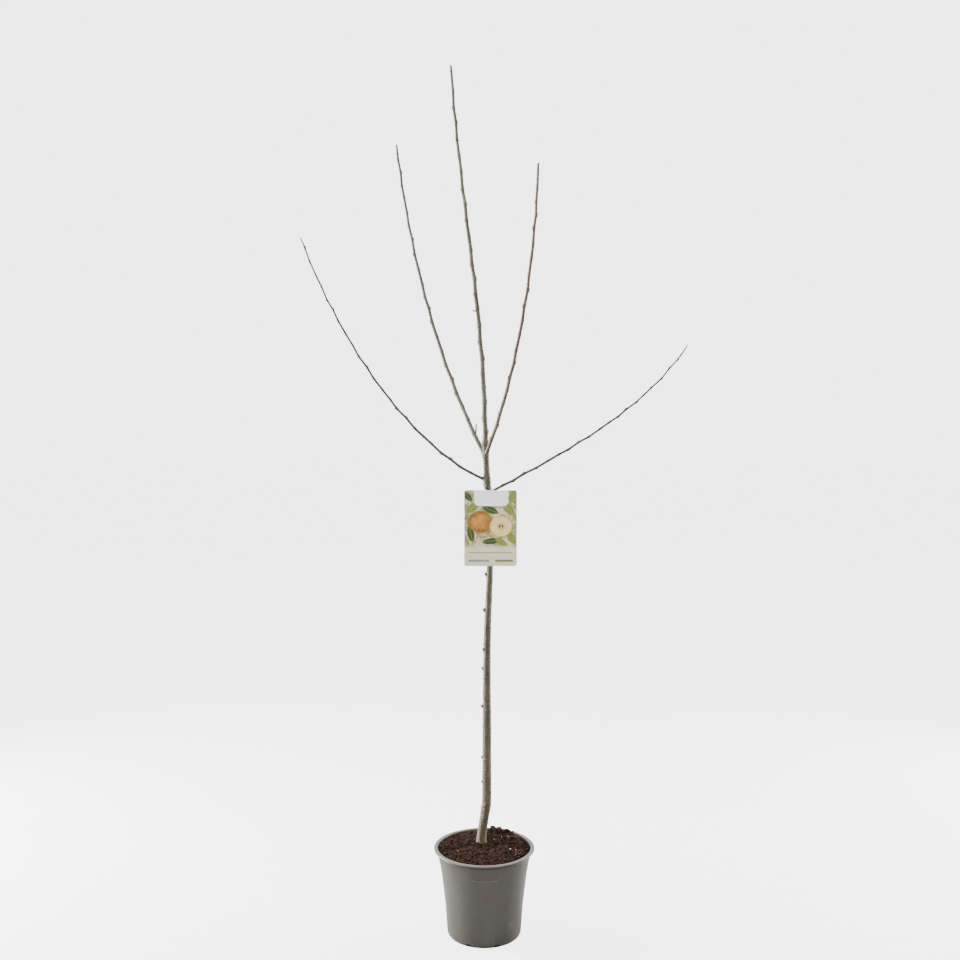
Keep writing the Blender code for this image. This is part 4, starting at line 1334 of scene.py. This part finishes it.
print(leaf_group.name, "has", len(leaf_group.nodes), "nodes")

# %% The printed front: its blurred garden and its leaves
# Places and sizes on the card are in millimetres from its lower left corner.
MILLIMETRES = (LABEL_WIDTH * 1000, LABEL_HEIGHT * 1000, 1.0)
DEEP_GREEN, FRESH_GREEN, VEIN_GREEN = paint(62, 78, 34), paint(120, 136, 58), paint(160, 166, 100)
# Each leaf's place, its turn in radians, its length and its width.
LEAVES = (
    (20, 128, 0.7, 44, 18), (56, 122, -0.4, 42, 16), (95, 124, 2.3, 44, 18),
    (14, 70, 1.8, 40, 16), (101, 62, -1.0, 40, 16), (58, 54, 0.15, 44, 14),
    (80, 52, -0.5, 34, 12), (8, 150, -0.8, 30, 13), (104, 152, 0.9, 30, 13))


def card_place(tree):
    """Where a point is on the card, in millimetres."""
    return stretched(tree, add(tree, "ShaderNodeUVMap", uv_map="print").outputs[0], MILLIMETRES)


card_material, tree, shader = new_material("card_print", Specular_IOR_Level=0.5)
place = card_place(tree)
parts = parts_of(tree, place)
blur = cloud(tree, place, 0.030, 2.0)
warm_blur = cloud(tree, place, 0.075)
light_blur = cloud(tree, place, 0.16)
colour = blended(tree, blur, 0.42, 0.58, paint(206, 190, 156), paint(128, 138, 70))
colour = blended(tree, warm_blur, 0.50, 0.62, colour, paint(150, 110, 78), 0.9)
colour = blended(tree, light_blur, 0.58, 0.66, colour, paint(236, 228, 208), 0.8)
colour = blended(tree, parts["Y"], 50.0, 36.0, colour, paint(218, 213, 184), 0.95)
for number, (x, y, turn, length, width) in enumerate(LEAVES):
    out = place_group(tree, leaf_group, Place=place, X=x, Y=y, Turn=turn, Length=length, Width=width)
    green = DEEP_GREEN if number % 2 else FRESH_GREEN
    green = mixed(tree, times(tree, out["Vein"], 0.5), green, VEIN_GREEN)
    green = shaded(tree, green, ramped(tree, cloud(tree, place, 0.25), 0.3, 0.7, 0.8, 1.15))
    colour = mixed(tree, out["Mask"], colour, green)
print("leaves printed:", len(LEAVES))

# %% The printed front: a whole fruit and a halved one
WHOLE_X, WHOLE_Y, WHOLE_RADIUS = 34.0, 96.0, 26.0
HALVED_X, HALVED_Y, HALVED_RADIUS, CORE_RADIUS = 79.0, 86.0, 25.0, 8.5
# Each pip's place, turn, length and width.
PIPS = ((76.0, 86.5, 1.25, 8.0, 3.6), (82.0, 86.5, 1.9, 8.0, 3.6))

whole = place_group(tree, disc_group, Place=place, X=WHOLE_X, Y=WHOLE_Y, Radius=WHOLE_RADIUS)
blush = blended(tree, cloud(tree, place, 0.08), 0.4, 0.65, paint(190, 138, 60), paint(174, 102, 48))
blush = blended(tree, cells(tree, place, 0.55), 0.22, 0.10, blush, paint(212, 174, 102), 0.4)
blush = shaded(tree, blush, ramped(tree, whole["Share"], 0.2, 1.0, 1.15, 0.55))
colour = mixed(tree, whole["Mask"], colour, blush)

halved = place_group(tree, disc_group, Place=place, X=HALVED_X, Y=HALVED_Y, Radius=HALVED_RADIUS)
core = place_group(tree, disc_group, Place=place, X=HALVED_X, Y=HALVED_Y, Radius=CORE_RADIUS)
flesh = blended(tree, halved["Share"], 0.93, 0.96, paint(232, 206, 140), paint(160, 98, 42))
flesh = mixed(tree, times(tree, core["Mask"], 0.55), flesh, paint(168, 138, 74))
for x, y, turn, length, width in PIPS:
    pip = place_group(tree, leaf_group, Place=place, X=x, Y=y, Turn=turn, Length=length, Width=width)
    flesh = mixed(tree, pip["Mask"], flesh, paint(62, 36, 20))
flesh = shaded(tree, flesh, ramped(tree, cloud(tree, place, 0.12), 0.3, 0.7, 0.92, 1.06))
colour = mixed(tree, halved["Mask"], colour, flesh)
print("fruits printed: 2")

# %% The printed front: plain bars and the white tab
BAR_EDGE, TAB_EDGE = 0.5, 0.3
# Each bar's left and right, its foot and head, and its ink.
FRONT_BARS = (
    (8.0, 105.0, 28.0, 30.0, paint(150, 86, 56)),
    (8.0, 54.0, 9.0, 14.0, paint(140, 140, 128)),
    (66.0, 105.0, 9.0, 14.0, paint(112, 122, 66)))
TAB_MIDDLE, TAB_HALF_WIDTH, TAB_FOOT, TAB_CORNER = 58.0, 36.5, 130.0, 10.0


def bar(tree, parts, colour, left, right, foot, head, ink):
    """A plain printed bar with soft edges."""
    mask = ramped(tree, parts["X"], left, left + BAR_EDGE)
    mask = times(tree, mask, ramped(tree, parts["X"], right, right - BAR_EDGE))
    mask = times(tree, mask, ramped(tree, parts["Y"], foot, foot + BAR_EDGE))
    mask = times(tree, mask, ramped(tree, parts["Y"], head, head - BAR_EDGE))
    return mixed(tree, mask, colour, ink)


for row in FRONT_BARS:
    colour = bar(tree, parts, colour, *row)
from_middle = sums(tree, "ABSOLUTE", minus(tree, parts["X"], TAB_MIDDLE))
past_side = minus(tree, from_middle, TAB_HALF_WIDTH - TAB_CORNER)
past_foot = minus(tree, TAB_FOOT + TAB_CORNER, parts["Y"])
past_side = sums(tree, "MAXIMUM", past_side, 0.0)
past_foot = sums(tree, "MAXIMUM", past_foot, 0.0)
outside = hypotenuse(tree, past_side, past_foot)
colour = blended(tree, outside, TAB_CORNER + TAB_EDGE, TAB_CORNER - TAB_EDGE, colour, paint(255, 255, 255))
wear = cloud(tree, place, 0.9, 4.0)
surface(tree, shader, colour, ramped(tree, wear, 0.3, 0.7, 0.26, 0.40), wear, 0.00003)
print("bars printed:", len(FRONT_BARS))

# %% The plain back
BACK_ROWS, ROW_STEP, ROW_HEIGHT, ROW_FOOT = 5, 11.0, 2.4, 60.0
ROW_LEFT, ROW_RIGHT, ROW_SHORTER = 14.0, 98.0, 9.0

back_material, tree, shader = new_material("card_back", Specular_IOR_Level=0.45)
place = card_place(tree)
parts = parts_of(tree, place)
haze = cloud(tree, place, 0.5, 4.0)
colour = blended(tree, haze, 0.35, 0.65, paint(232, 231, 224), paint(222, 221, 212))
for row in range(BACK_ROWS):
    right = ROW_RIGHT - ROW_SHORTER * (row % 3)
    foot = ROW_FOOT + ROW_STEP * row
    colour = bar(tree, parts, colour, ROW_LEFT, right, foot, foot + ROW_HEIGHT, paint(176, 184, 150))
surface(tree, shader, colour, ramped(tree, haze, 0.3, 0.7, 0.34, 0.46), haze, 0.00003)

hand_over(card, card_material, "label_card", "label", smooth=30.0)
card.data.materials.append(back_material)
for polygon in card.data.polygons:
    polygon.material_index = 0 if polygon.normal.y < -0.5 else 1

# %% [markdown]
# The white strap that ties the card to the trunk keeps its solid. It only needs a soft plastic with a
# fine grain.

# %% The strap's plastic
strap_material, tree, shader = new_material("strap_plastic", Specular_IOR_Level=0.5)
out = place_group(tree, grain_group, Place=object_place(tree), Grain=4000.0)
colour = blended(tree, out["Tone"], 0.3, 0.7, paint(236, 236, 232), paint(224, 224, 218))
surface(tree, shader, colour, ramped(tree, out["Tone"], 0.3, 0.7, 0.38, 0.5), out["Height"], 0.00004)
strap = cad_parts["label_strap"]
strap.data.materials.clear()
strap.data.materials.append(strap_material)
print("strap keeps its", len(strap.data.polygons), "faces")

# %% The count of pieces, and the end
print("pieces:", len(FINISHED))
